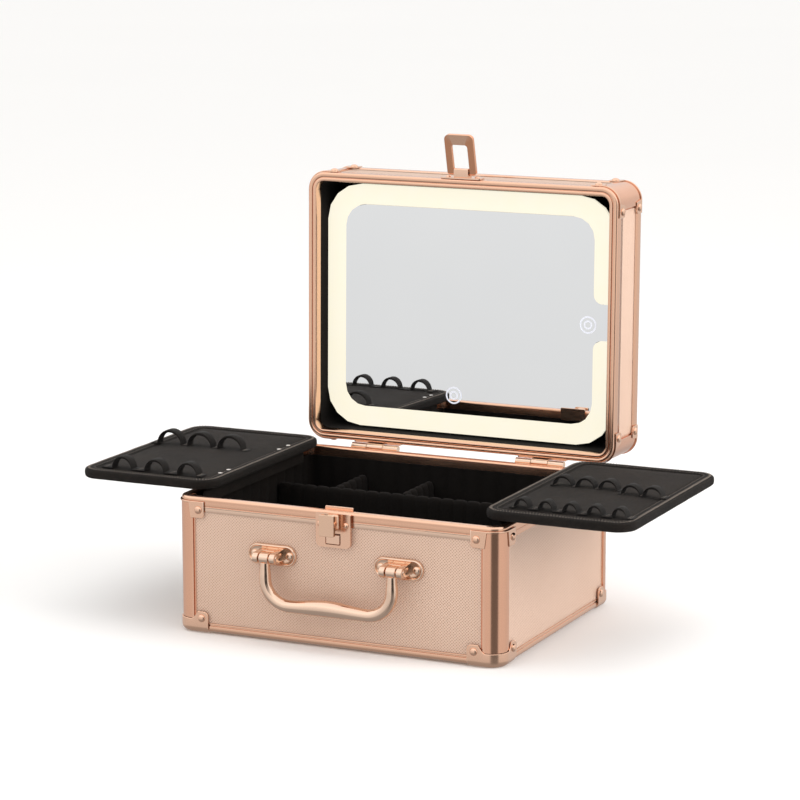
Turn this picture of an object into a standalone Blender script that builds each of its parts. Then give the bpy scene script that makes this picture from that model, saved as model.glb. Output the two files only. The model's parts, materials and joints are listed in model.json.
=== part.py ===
"""Makeup train case: a hard case with an aluminium frame, standing open.

The origin is the middle of the underside.  X runs along the width, -Y is the
front with the latch and the handle, +Z is up.  The lid is drawn shut, then
turned open about its hinge pins.  All lengths are in metres.
"""

from math import cos, pi, radians, sin

import bmesh
import bpy
from mathutils import Vector

# ---- driving dimensions ----------------------------------------------------
CASE_WIDTH = 0.300
CASE_DEPTH = 0.244
BASE_HEIGHT = 0.118
LID_HEIGHT = 0.060
BASE_RADIUS = 0.014
LID_RADIUS = 0.016
LID_OPEN_DEG = 91.0
LID_GAP = 0.0012

GAP = 0.0003
FRAME_WALL = 0.008
FRAME_LIP = 0.001
RIM_DEPTH = 0.0125
RIM_BODY = 0.0088
BOTTOM_LOW = 0.0013
BOTTOM_HIGH = 0.0093
BOTTOM_BODY = 0.0055
PANEL_RECESS = 0.0013
PANEL_THICK = 0.003
LINER_OUT = 0.0046
LINER_IN = 0.0082
LINER_FLOOR = 0.0088
BOTTOM_PANEL_INSET = 0.0130

POST_LEG = 0.018
GUARD_LEG = 0.030
GUARD_HEIGHT = 0.019
BRACKET_LEG = 0.027
BRACKET_DROP = 0.0175
BRACKET_STRIP = 0.0050
SHEET_OUT = 0.0013

PIVOT_BACK = 0.004
HINGE_X = 0.081
HINGE_WIDTH = 0.046
HINGE_MIDDLE = 0.016
KNUCKLE_RADIUS = 0.0030
HINGE_PIN_RADIUS = 0.0012
LEAF_HEIGHT = 0.0115
LEAF_THICK = 0.0012

LID_RIM_FLANGE = 0.0145
LID_RIM_BODY = 0.0095
LID_TOP_FLANGE = 0.0465
LID_TOP_INSET = 0.0115
MIRROR_DEPTH = 0.020
MIRROR_WIDTH = 0.279
MIRROR_HEIGHT = 0.222
MIRROR_THICK = 0.004
BAND_WIDTH = 0.018
BAND_OUTER_RADIUS = 0.033
BAND_INNER_RADIUS = 0.020
BAND_BREAK = 0.033
BAND_BREAK_RADIUS = 0.008

LATCH_WIDTH = 0.032
LATCH_HEIGHT = 0.029
LATCH_THICK = 0.0032
LATCH_CORNER = 0.004
TAB_WIDTH = 0.0125
TAB_HEIGHT = 0.0080
TAB_LOW = 0.0268
BLOCK_WIDTH = 0.0138
BLOCK_HEIGHT = 0.0183
BLOCK_REACH = 0.0125
BLOCK_WAIST = 0.0016

HASP_STANDOFF = 0.0058
HASP_RISE = 0.0060
HASP_LEAN_DEG = 14.0
HASP_WIDTH = 0.0276
HASP_REACH = 0.0355
HASP_WINDOW_WIDTH = 0.0154
HASP_WINDOW_REACH = 0.0262
HASP_THICK = 0.0034
CLIP_WIDTH = 0.0138
CLIP_BORE = 0.00275
CLIP_OUTER = 0.00375

HANDLE_X = 0.0585
HANDLE_Z = 0.0755
HANDLE_STANDOFF = 0.0135
HANDLE_DROP = 0.039
HANDLE_ARCH = 0.0016
HANDLE_CORNER = 0.022
HANDLE_LEG_RADIUS = 0.0045
HANDLE_BEND_RADIUS = 0.0052
HANDLE_GRIP_RADIUS = 0.0068
HANDLE_NECK_DROP = 0.0090
HANDLE_SHOULDER_DROP = 0.0125
HANDLE_PIN_RADIUS = 0.0015
BRACKET_PLATE = (0.045, 0.018, 0.003)
LUG_WIDTH = 0.0055
LUG_INSIDE = 0.0051
LUG_RADIUS = 0.0046

BOARD_HINGE_X = 0.1305
BOARD_HINGE_Z = BASE_HEIGHT + 0.0021
BOARD_INNER_X = 0.1245
BOARD_WIDTH = 0.131
BOARD_LENGTH = 0.216
BOARD_LOW = BASE_HEIGHT + 0.0025
BOARD_THICK = 0.008
BOARD_RADIUS = 0.018
BOARD_EDGE = 0.0012
HINGE_STRIP_X = 0.137
HINGE_STRIP_HALF_LENGTH = 0.095
HINGE_STRIP_LOW = BASE_HEIGHT - 0.012
HINGE_STRIP_TOP = BASE_HEIGHT - 0.0008
STRAP_THICK = 0.0011
STRAP_WIDTH = 0.011
STRAP_UNDERSIDE = 0.91

DIVIDER_THICK = 0.008
DIVIDER_TOP = BASE_HEIGHT - 0.0225
DIVIDER_Y = 0.052
DIVIDER_LEFT_X = -0.086
DIVIDER_RIGHT_X = -0.020

CORNER_STEPS = 4

# ---- worked-out places -----------------------------------------------------
HALF_W = CASE_WIDTH / 2
HALF_D = CASE_DEPTH / 2
LID_LOW = BASE_HEIGHT + LID_GAP
PIVOT = Vector((0, HALF_D + PIVOT_BACK, BASE_HEIGHT + LID_GAP / 2))
CORNERS = {
    "front_left": (-1, -1),
    "front_right": (1, -1),
    "back_right": (1, 1),
    "back_left": (-1, 1),
}

ROSE_METAL = ((0.80, 0.50, 0.38), 0.28, 1.0)
POLISHED_METAL = ((0.83, 0.49, 0.36), 0.12, 1.0)
ROSE_SHEET = ((0.70, 0.51, 0.41), 0.55, 0.1)
DARK_LINING = ((0.018, 0.014, 0.011), 0.85, 0.0)
CHARCOAL = ((0.035, 0.032, 0.030), 0.9, 0.0)
ELASTIC = ((0.020, 0.019, 0.018), 0.8, 0.0)
BOARD_FIBRE = ((0.10, 0.07, 0.05), 0.9, 0.0)
MIRROR_FINISH = ((0.90, 0.91, 0.92), 0.02, 1.0)
LIGHT_BAND = ((1.0, 0.93, 0.80), 0.5, 0.0)
BLACK_PLASTIC = ((0.03, 0.03, 0.03), 0.5, 0.0)


# ---- mesh helpers ----------------------------------------------------------
def clear_scene():
    for item in list(bpy.data.objects):
        bpy.data.objects.remove(item)


def make_material(name, finish):
    colour, roughness, metallic = finish
    material = bpy.data.materials.new(name)
    material.use_nodes = True
    shader = material.node_tree.nodes["Principled BSDF"]
    shader.inputs["Base Color"].default_value = (*colour, 1.0)
    shader.inputs["Roughness"].default_value = roughness
    shader.inputs["Metallic"].default_value = metallic
    return material


def finish_object(name, bm, finish, parent=None):
    """Closes the work on one piece: faces out, smooth shading, material, parent."""
    bmesh.ops.recalc_face_normals(bm, faces=bm.faces)
    mesh = bpy.data.meshes.new(name)
    bm.to_mesh(mesh)
    bm.free()
    mesh.shade_smooth()
    mesh.set_sharp_from_angle(angle=radians(35))
    mesh.materials.append(make_material(name, finish))
    piece = bpy.data.objects.new(name, mesh)
    bpy.context.scene.collection.objects.link(piece)
    if parent:
        piece.parent = parent
        piece.matrix_parent_inverse = parent.matrix_basis.inverted()
    return piece


def bridge(loops, closed):
    """Joins loops of equal length into a skin, capped at both ends unless closed."""
    bm = bmesh.new()
    rows = [[bm.verts.new(point) for point in loop] for loop in loops]
    count = len(loops[0])
    pairs = list(zip(rows, rows[1:]))
    if closed:
        pairs.append((rows[-1], rows[0]))
    for low, high in pairs:
        for i in range(count):
            k = (i + 1) % count
            bm.faces.new((low[i], low[k], high[k], high[i]))
    if not closed:
        bm.faces.new(rows[0])
        bm.faces.new(rows[-1])
    return bm


def rounded_rectangle(width, depth, radius, centre=(0, 0), steps=CORNER_STEPS):
    """Outline points of a rectangle with round corners, anticlockwise."""
    points = []
    for sx, sy, start in ((1, 1, 0), (-1, 1, 90), (-1, -1, 180), (1, -1, 270)):
        cx = centre[0] + sx * (width / 2 - radius)
        cy = centre[1] + sy * (depth / 2 - radius)
        for k in range(steps + 1):
            turn = radians(start + 90 * k / steps)
            points.append((cx + radius * cos(turn), cy + radius * sin(turn)))
    return points


def case_outline(inset, radius):
    """The case's plan outline, moved inwards by inset."""
    return rounded_rectangle(
        CASE_WIDTH - 2 * inset, CASE_DEPTH - 2 * inset, max(radius - inset, 0.0005)
    )


def on_plane(outline, level, axis):
    """Places a flat outline at a level on the X, Y or Z axis."""
    if axis == "Z":
        return [Vector((u, v, level)) for u, v in outline]
    if axis == "Y":
        return [Vector((u, level, v)) for u, v in outline]
    return [Vector((level, u, v)) for u, v in outline]


def prism(outline, low, high, axis="Z"):
    return bridge([on_plane(outline, low, axis), on_plane(outline, high, axis)], False)


def box(low, high):
    outline = [(low[0], low[1]), (high[0], low[1]), (high[0], high[1]), (low[0], high[1])]
    return prism(outline, low[2], high[2])


def window_plate(outer, inner, low, high, axis):
    """A flat plate with one window; both outlines have the same number of points."""
    loops = [
        on_plane(outer, low, axis),
        on_plane(outer, high, axis),
        on_plane(inner, high, axis),
        on_plane(inner, low, axis),
    ]
    return bridge(loops, True)


def frame_ring(profile, radius):
    """A frame round the case from a closed profile of (inset, height) points."""
    return bridge(
        [on_plane(case_outline(inset, radius), z, "Z") for inset, z in profile], True
    )


def circle(centre, radius, steps):
    return [
        (centre[0] + radius * cos(2 * pi * k / steps), centre[1] + radius * sin(2 * pi * k / steps))
        for k in range(steps)
    ]


def rod(centre, radius, low, high, axis="X", steps=16):
    return prism(circle(centre, radius, steps), low, high, axis)


def cut_or_join(piece, tool_mesh, operation):
    """Applies one Boolean to a finished piece and takes the tool away."""
    tool = finish_object(piece.name + "_tool", tool_mesh, ROSE_METAL)
    step = piece.modifiers.new(operation.lower(), "BOOLEAN")
    step.operation = operation
    step.object = tool
    depsgraph = bpy.context.evaluated_depsgraph_get()
    mesh = bpy.data.meshes.new_from_object(piece.evaluated_get(depsgraph))
    piece.modifiers.clear()
    piece.data = mesh
    bpy.data.objects.remove(tool)


def wrap_corner(sign, radius, stations):
    """Sheet wrapped round one upright corner.

    stations lists (along, profile).  along is the distance from the sharp corner
    on the front or back leg (negative) or the side leg (positive), and None gives
    the round part.  A profile is a closed list of (outwards, height) points.
    """
    sx, sy = sign
    loops = []
    for along, profile in stations:
        if along is None:
            for k in range(1, 2 * CORNER_STEPS):
                turn = pi / 2 * k / (2 * CORNER_STEPS)
                loops.append(
                    [
                        Vector(
                            (
                                sx * (HALF_W - radius + (radius + out) * sin(turn)),
                                sy * (HALF_D - radius + (radius + out) * cos(turn)),
                                z,
                            )
                        )
                        for out, z in profile
                    ]
                )
        elif along < 0:
            loops.append(
                [Vector((sx * (HALF_W + along), sy * (HALF_D + out), z)) for out, z in profile]
            )
        else:
            loops.append(
                [Vector((sx * (HALF_W + out), sy * (HALF_D - along), z)) for out, z in profile]
            )
    return bridge(loops, False)


def leg_stations(leg, radius, profile_at, round_end):
    """Stations along both legs of a wrapped corner, with a rounded outer end."""
    marks = [leg, leg - 0.3 * round_end, leg - round_end, radius]
    before = [(-m, profile_at((leg - m) / round_end)) for m in marks]
    after = [(m, profile_at((leg - m) / round_end)) for m in reversed(marks)]
    return before + [(None, profile_at(None))] + after


def ease(t):
    """Quarter-circle rise from 0 to 1."""
    t = max(0.0, min(1.0, t))
    return (1 - (1 - t) ** 2) ** 0.5


# ---- base ------------------------------------------------------------------
def make_base_frames():
    top = BASE_HEIGHT
    rim = [
        (GAP, top - RIM_DEPTH),
        (GAP, top - RIM_BODY - 0.0006),
        (0, top - RIM_BODY),
        (0, top - 0.001),
        (0.001, top),
        (FRAME_WALL - 0.001, top),
        (FRAME_WALL, top - 0.001),
        (FRAME_WALL, top - RIM_BODY),
        (FRAME_LIP, top - RIM_BODY),
        (FRAME_LIP, top - RIM_DEPTH),
    ]
    finish_object("base_rim_frame", frame_ring(rim, BASE_RADIUS), ROSE_METAL)
    foot = [
        (0, BOTTOM_HIGH),
        (0, 0.0055),
        (0.0012, 0.0030),
        (0.0040, BOTTOM_LOW),
        (FRAME_WALL, BOTTOM_LOW),
        (FRAME_WALL, BOTTOM_BODY),
        (FRAME_LIP, BOTTOM_BODY),
        (FRAME_LIP, BOTTOM_HIGH),
    ]
    finish_object("base_bottom_frame", frame_ring(foot, BASE_RADIUS), ROSE_METAL)


def make_base_panels():
    low, high = BOTTOM_BODY + GAP, BASE_HEIGHT - RIM_BODY - GAP
    near, far = PANEL_RECESS, PANEL_RECESS + PANEL_THICK
    reach_x, reach_y = HALF_W - BASE_RADIUS, HALF_D - BASE_RADIUS
    for name, sy in (("base_front_panel", -1), ("base_back_panel", 1)):
        ys = sorted((sy * (HALF_D - near), sy * (HALF_D - far)))
        bm = box((-reach_x, ys[0], low), (reach_x, ys[1], high))
        finish_object(name, bm, ROSE_SHEET)
    for name, sx in (("base_left_panel", -1), ("base_right_panel", 1)):
        xs = sorted((sx * (HALF_W - near), sx * (HALF_W - far)))
        bm = box((xs[0], -reach_y, low), (xs[1], reach_y, high))
        finish_object(name, bm, ROSE_SHEET)
    bottom = prism(case_outline(BOTTOM_PANEL_INSET, BASE_RADIUS), 0, BOTTOM_BODY)
    finish_object("base_bottom_panel", bottom, BOARD_FIBRE)


def make_base_corners():
    top = BASE_HEIGHT
    post_low, post_high = BOTTOM_HIGH + GAP, top - RIM_DEPTH - GAP

    def post_profile(_):
        return [(0, post_low), (0, post_high), (-FRAME_LIP, post_high), (-FRAME_LIP, post_low)]

    def guard_profile(t):
        high = 0.012 + (GUARD_HEIGHT - 0.012) * (1.0 if t is None else ease(t))
        return [
            (SHEET_OUT, high),
            (SHEET_OUT, 0.0055),
            (0.0004, 0.0028),
            (-0.0028, 0),
            (-0.0125, 0),
            (-0.0125, 0.001),
            (-0.0036, 0.001),
            (-0.0006, 0.0030),
            (GAP, 0.0055),
            (GAP, high),
        ]

    def bracket_profile(t):
        drop = BRACKET_STRIP if t is None else 0.009 + (BRACKET_DROP - 0.009) * ease(t)
        low, high = top - drop, top - 0.0005
        return [(SHEET_OUT, low), (SHEET_OUT, high), (GAP, high), (GAP, low)]

    for place, sign in CORNERS.items():
        post = [(-POST_LEG, post_profile(0)), (-BASE_RADIUS, post_profile(0))]
        post += [(None, post_profile(0))]
        post += [(BASE_RADIUS, post_profile(0)), (POST_LEG, post_profile(0))]
        finish_object("corner_post_" + place, wrap_corner(sign, BASE_RADIUS, post), ROSE_METAL)
        guard = leg_stations(GUARD_LEG, BASE_RADIUS, guard_profile, 0.008)
        finish_object(
            "corner_guard_" + place, wrap_corner(sign, BASE_RADIUS, guard), POLISHED_METAL
        )
        tabs = leg_stations(BRACKET_LEG, BASE_RADIUS + 0.0015, bracket_profile, 0.006)
        finish_object(
            "corner_bracket_" + place, wrap_corner(sign, BASE_RADIUS, tabs), POLISHED_METAL
        )


def make_base_inside():
    loops = [
        on_plane(case_outline(LINER_OUT, BASE_RADIUS), BOTTOM_BODY + GAP, "Z"),
        on_plane(case_outline(LINER_OUT, BASE_RADIUS), BASE_HEIGHT - RIM_BODY - GAP, "Z"),
        on_plane(case_outline(LINER_IN, BASE_RADIUS), BASE_HEIGHT - RIM_BODY - GAP, "Z"),
        on_plane(case_outline(LINER_IN, BASE_RADIUS), LINER_FLOOR, "Z"),
    ]
    finish_object("base_liner", bridge(loops, False), DARK_LINING)
    low, half = LINER_FLOOR + GAP, DIVIDER_THICK / 2
    end_x, end_y = HALF_W - LINER_IN - 0.001, HALF_D - LINER_IN - 0.001
    cross = box((-end_x, DIVIDER_Y - half, low), (end_x, DIVIDER_Y + half, DIVIDER_TOP))
    finish_object("divider_cross", cross, DARK_LINING)
    for name, x in (("divider_left", DIVIDER_LEFT_X), ("divider_right", DIVIDER_RIGHT_X)):
        bm = box((x - half, DIVIDER_Y + half + GAP, low), (x + half, end_y, DIVIDER_TOP))
        finish_object(name, bm, DARK_LINING)
    for name, sx in (("board_hinge_strip_left", -1), ("board_hinge_strip_right", 1)):
        xs = sorted((sx * HINGE_STRIP_X, sx * (HALF_W - LINER_IN - GAP)))
        reach = HINGE_STRIP_HALF_LENGTH
        bm = box((xs[0], -reach, HINGE_STRIP_LOW), (xs[1], reach, HINGE_STRIP_TOP))
        finish_object(name, bm, CHARCOAL)


# ---- latch, handle and hinges ----------------------------------------------
def make_latch():
    top, front = BASE_HEIGHT - 0.0008, -HALF_D - GAP
    middle = (0, top - LATCH_HEIGHT / 2)
    outer = rounded_rectangle(LATCH_WIDTH, LATCH_HEIGHT, LATCH_CORNER, middle)
    tab_middle = (0, BASE_HEIGHT - TAB_LOW + TAB_HEIGHT / 2)
    hole = rounded_rectangle(TAB_WIDTH + 2 * GAP, TAB_HEIGHT + 2 * GAP, 0.001, tab_middle)
    plate = window_plate(outer, hole, front - LATCH_THICK, front, "Y")
    finish_object("latch_plate", plate, POLISHED_METAL)

    button = bpy.data.objects.new("latch_button_axis", None)
    button.location = (0, front - LATCH_THICK, tab_middle[1])
    bpy.context.scene.collection.objects.link(button)
    tab = prism(
        rounded_rectangle(TAB_WIDTH, TAB_HEIGHT, 0.0008, tab_middle),
        front - LATCH_THICK - 0.0005,
        front - 0.0008,
        "Y",
    )
    finish_object("latch_release_tab", tab, POLISHED_METAL, button)

    half, back = BLOCK_WIDTH / 2, front - LATCH_THICK - GAP
    side = []
    steps = 6
    for k in range(steps + 1):
        t = k / steps
        side.append((half - BLOCK_WAIST * sin(pi * t), back - BLOCK_REACH * t))
    outline = side + [(-x, y) for x, y in reversed(side)]
    block = prism(outline, BASE_HEIGHT + 0.0003 - BLOCK_HEIGHT, BASE_HEIGHT + 0.0003)
    finish_object("latch_block", block, POLISHED_METAL)

    inside = -HALF_D + FRAME_WALL + GAP
    keeper = prism(
        rounded_rectangle(0.026, 0.0125, 0.001, (0, BASE_HEIGHT - 0.0038)),
        inside,
        inside + 0.0015,
        "Y",
    )
    finish_object("latch_keeper_plate", keeper, POLISHED_METAL)


def handle_path():
    """Points and radii of the bail, from the left pivot round to the right one."""
    low = HANDLE_Z - HANDLE_DROP
    turn_x = HANDLE_X - HANDLE_CORNER
    half = [(HANDLE_X, HANDLE_Z + HANDLE_LEG_RADIUS * 0.55, 0.0034)]
    half += [(HANDLE_X, HANDLE_Z + 0.0005, HANDLE_LEG_RADIUS)]
    half += [(HANDLE_X, HANDLE_Z - HANDLE_NECK_DROP, HANDLE_LEG_RADIUS)]
    half += [(HANDLE_X, HANDLE_Z - HANDLE_SHOULDER_DROP, HANDLE_BEND_RADIUS)]
    steps = 6
    for k in range(steps + 1):
        a = pi / 2 * k / steps
        x = turn_x + HANDLE_CORNER * cos(a)
        z = low + HANDLE_CORNER - HANDLE_CORNER * sin(a)
        half.append((x, z, HANDLE_BEND_RADIUS))
    for k in range(1, 4):
        x = turn_x * (1 - k / 4)
        rise = 0.5 + 0.5 * cos(pi * x / turn_x)
        radius = HANDLE_BEND_RADIUS + (HANDLE_GRIP_RADIUS - HANDLE_BEND_RADIUS) * rise
        half.append((x, low + HANDLE_ARCH * rise, radius))
    middle = [(0, low + HANDLE_ARCH, HANDLE_GRIP_RADIUS)]
    return [(-x, z, r) for x, z, r in half] + middle + half[::-1]


def make_handle():
    y = -HALF_D - HANDLE_STANDOFF
    axis = bpy.data.objects.new("handle_axis", None)
    axis.location = (0, y, HANDLE_Z)
    bpy.context.scene.collection.objects.link(axis)
    path = handle_path()
    loops = []
    for i, (x, z, radius) in enumerate(path):
        ahead = path[min(i + 1, len(path) - 1)]
        behind = path[max(i - 1, 0)]
        along = Vector((ahead[0] - behind[0], 0, ahead[1] - behind[1])).normalized()
        side = Vector((-along.z, 0, along.x))
        ring = []
        for k in range(12):
            a = 2 * pi * k / 12
            ring.append(Vector((x, y, z)) + side * radius * cos(a) + Vector((0, radius * sin(a), 0)))
        loops.append(ring)
    holes = [
        rod((y, HANDLE_Z), HANDLE_PIN_RADIUS + GAP, sx * HANDLE_X - 0.008, sx * HANDLE_X + 0.008)
        for sx in (-1, 1)
    ]
    bail = finish_object("carry_handle", bridge(loops, False), POLISHED_METAL, axis)
    for hole in holes:
        cut_or_join(bail, hole, "DIFFERENCE")

    width, height, thick = BRACKET_PLATE
    panel = -HALF_D + PANEL_RECESS - GAP
    for name, sx in (("left", -1), ("right", 1)):
        x = sx * HANDLE_X
        plate = prism(
            rounded_rectangle(width, height, height / 2 - 0.0002, (x, HANDLE_Z)),
            panel - thick,
            panel,
            "Y",
        )
        bracket = finish_object("handle_bracket_" + name, plate, POLISHED_METAL)
        for side in (-1, 1):
            xs = sorted((x + side * LUG_INSIDE, x + side * (LUG_INSIDE + LUG_WIDTH)))
            half = LUG_RADIUS
            outline = [(panel - thick / 2, HANDLE_Z - half), (y, HANDLE_Z - half)]
            outline += [
                (y - half * sin(pi * k / 6), HANDLE_Z - half * cos(pi * k / 6)) for k in range(1, 6)
            ]
            outline += [(y, HANDLE_Z + half), (panel - thick / 2, HANDLE_Z + half)]
            cut_or_join(bracket, prism(outline, xs[0], xs[1], "X"), "UNION")
        hole = rod((y, HANDLE_Z), HANDLE_PIN_RADIUS + GAP, x - 0.013, x + 0.013)
        cut_or_join(bracket, hole, "DIFFERENCE")
        ends = LUG_INSIDE + LUG_WIDTH
        pin = rod((y, HANDLE_Z), HANDLE_PIN_RADIUS, x - ends, x + ends, steps=12)
        finish_object("handle_pin_" + name, pin, POLISHED_METAL)


def leaf_outline(x, sign):
    """Leaf seen from behind; sign -1 is the base leaf with the outer knuckles."""
    half, mid = HINGE_WIDTH / 2, HINGE_MIDDLE / 2 - sign * GAP
    at_pin, clear = PIVOT.z, PIVOT.z + sign * 0.0037
    inner, outer = (at_pin, clear) if sign > 0 else (clear, at_pin)
    far = PIVOT.z + sign * LEAF_HEIGHT
    edge = [(-half, outer), (-mid, outer), (-mid, inner), (mid, inner), (mid, outer)]
    return [(x + u, z) for u, z in edge + [(half, outer), (half, far), (-half, far)]]


def make_hinges(lid_axis):
    low_y = HALF_D + GAP
    centre = (PIVOT.y, PIVOT.z)
    half, mid = HINGE_WIDTH / 2, HINGE_MIDDLE / 2
    for name, sx in (("left", -1), ("right", 1)):
        x = sx * HINGE_X
        plate = prism(leaf_outline(x, -1), low_y, low_y + LEAF_THICK, "Y")
        leaf = finish_object("hinge_base_leaf_" + name, plate, ROSE_METAL)
        knuckles = [
            rod(centre, KNUCKLE_RADIUS, x - half, x - mid - GAP),
            rod(centre, KNUCKLE_RADIUS, x + mid + GAP, x + half),
            rod(centre, HINGE_PIN_RADIUS, x - half + 0.002, x + half - 0.002, steps=12),
        ]
        for knuckle in knuckles:
            cut_or_join(leaf, knuckle, "UNION")
        plate = prism(leaf_outline(x, 1), low_y, low_y + LEAF_THICK, "Y")
        leaf = finish_object("hinge_lid_leaf_" + name, plate, ROSE_METAL, lid_axis)
        knuckle = rod(centre, KNUCKLE_RADIUS, x - mid + GAP, x + mid - GAP)
        cut_or_join(leaf, knuckle, "UNION")
        bore = rod(centre, HINGE_PIN_RADIUS + GAP, x - half, x + half)
        cut_or_join(leaf, bore, "DIFFERENCE")


# ---- lid, drawn shut -------------------------------------------------------
def lid_level(height):
    return LID_LOW + height


def make_lid_shell(lid_axis):
    rim = [
        (0.001, lid_level(0)),
        (0, lid_level(0.001)),
        (0, lid_level(LID_RIM_BODY)),
        (GAP, lid_level(LID_RIM_BODY + 0.0006)),
        (GAP, lid_level(LID_RIM_FLANGE)),
        (FRAME_LIP, lid_level(LID_RIM_FLANGE)),
        (FRAME_LIP, lid_level(LID_RIM_BODY)),
        (FRAME_WALL, lid_level(LID_RIM_BODY)),
        (FRAME_WALL, lid_level(0.001)),
        (FRAME_WALL - 0.001, lid_level(0)),
    ]
    finish_object("lid_rim_frame", frame_ring(rim, LID_RADIUS), ROSE_METAL, lid_axis)
    top = LID_HEIGHT
    cap = [
        (0, lid_level(LID_TOP_FLANGE)),
        (0, lid_level(top - 0.0030)),
        (0.0009, lid_level(top - 0.0009)),
        (0.0030, lid_level(top)),
        (LID_TOP_INSET, lid_level(top)),
        (LID_TOP_INSET, lid_level(top - 0.001)),
        (0.0032, lid_level(top - 0.001)),
        (0.0016, lid_level(top - 0.0016)),
        (FRAME_LIP, lid_level(top - 0.0032)),
        (FRAME_LIP, lid_level(LID_TOP_FLANGE)),
    ]
    finish_object("lid_top_frame", frame_ring(cap, LID_RADIUS), ROSE_METAL, lid_axis)
    band = [
        (PANEL_RECESS, lid_level(LID_RIM_BODY + GAP)),
        (PANEL_RECESS, lid_level(top - 0.005)),
        (LINER_OUT - GAP, lid_level(top - 0.005)),
        (LINER_OUT - GAP, lid_level(LID_RIM_BODY + GAP)),
    ]
    finish_object("lid_side_band", frame_ring(band, LID_RADIUS), ROSE_SHEET, lid_axis)
    panel = prism(
        case_outline(0.0035, LID_RADIUS), lid_level(top - 0.0047), lid_level(top - 0.0013)
    )
    finish_object("lid_top_panel", panel, ROSE_SHEET, lid_axis)
    loops = [
        on_plane(case_outline(LINER_OUT, LID_RADIUS), lid_level(top - 0.0050), "Z"),
        on_plane(case_outline(LINER_OUT, LID_RADIUS), lid_level(LID_RIM_BODY + GAP), "Z"),
        on_plane(case_outline(LINER_IN, LID_RADIUS), lid_level(LID_RIM_BODY + GAP), "Z"),
        on_plane(case_outline(LINER_IN, LID_RADIUS), lid_level(top - 0.0080), "Z"),
    ]
    finish_object("lid_liner", bridge(loops, False), DARK_LINING, lid_axis)


def make_lid_corners(lid_axis):
    low, high = lid_level(0.0005), lid_level(LID_HEIGHT - 0.0012)
    step_low, step_high = lid_level(0.0155), lid_level(0.0455)
    profile = [
        (SHEET_OUT, low),
        (SHEET_OUT, step_low),
        (0, step_low + 0.001),
        (0, step_high - 0.001),
        (SHEET_OUT, step_high),
        (SHEET_OUT, high),
        (GAP, high),
        (GAP, step_high + 0.0005),
        (-FRAME_LIP, step_high + 0.0005),
        (-FRAME_LIP, step_low - 0.0005),
        (GAP, step_low - 0.0005),
        (GAP, low),
    ]
    for place, sign in CORNERS.items():
        marks = [(-BRACKET_LEG, profile), (-LID_RADIUS, profile), (None, profile)]
        marks += [(LID_RADIUS, profile), (BRACKET_LEG, profile)]
        bm = wrap_corner(sign, LID_RADIUS, marks)
        finish_object("lid_corner_" + place, bm, ROSE_METAL, lid_axis)


def break_rounding(grow):
    """The upper rounded end of the break, from the break to the band's inner edge."""
    x = MIRROR_WIDTH / 2 - BAND_WIDTH + BAND_BREAK_RADIUS
    y = BAND_BREAK / 2 + BAND_BREAK_RADIUS
    radius = BAND_BREAK_RADIUS + grow
    turns = [pi / 2 * k / 4 for k in range(5)]
    return [(x - radius * sin(turn), y - radius * cos(turn)) for turn in turns]


def below(points):
    """The same points mirrored to the lower side."""
    return [(x, -y) for x, y in points]


def make_mirror(lid_axis):
    low = lid_level(MIRROR_DEPTH)
    high = low + MIRROR_THICK
    outer = rounded_rectangle(MIRROR_WIDTH, MIRROR_HEIGHT, BAND_OUTER_RADIUS)
    inner = rounded_rectangle(
        MIRROR_WIDTH - 2 * BAND_WIDTH, MIRROR_HEIGHT - 2 * BAND_WIDTH, BAND_INNER_RADIUS
    )
    # the band runs round from above the break to below it, and back along its inner edge
    edge_x, half = MIRROR_WIDTH / 2, BAND_BREAK / 2
    rounding = break_rounding(0)
    band = [(edge_x, half)] + outer + [(edge_x, -half)]
    band += below(rounding) + inner[::-1] + rounding[::-1]
    finish_object("led_diffuser", prism(band, low, high), LIGHT_BAND, lid_axis)

    # the glass fills the band and reaches out through its break
    glass = rounded_rectangle(
        MIRROR_WIDTH - 2 * BAND_WIDTH - 2 * GAP,
        MIRROR_HEIGHT - 2 * BAND_WIDTH - 2 * GAP,
        BAND_INNER_RADIUS - GAP,
    )
    rounding = break_rounding(GAP)
    glass += below(rounding[::-1]) + [(edge_x, GAP - half), (edge_x, half - GAP)] + rounding
    finish_object("mirror_glass", prism(glass, low, high), MIRROR_FINISH, lid_axis)

    board = prism(
        rounded_rectangle(MIRROR_WIDTH, MIRROR_HEIGHT, BAND_OUTER_RADIUS),
        high + GAP,
        high + 0.0035,
    )
    finish_object("led_backing_board", board, BLACK_PLASTIC, lid_axis)
    pack = prism(
        rounded_rectangle(0.110, 0.070, 0.006, (0, 0.030)),
        high + 0.0038,
        lid_level(LID_HEIGHT - 0.0084),
    )
    finish_object("control_and_battery_pack", pack, BLACK_PLASTIC, lid_axis)


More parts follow.
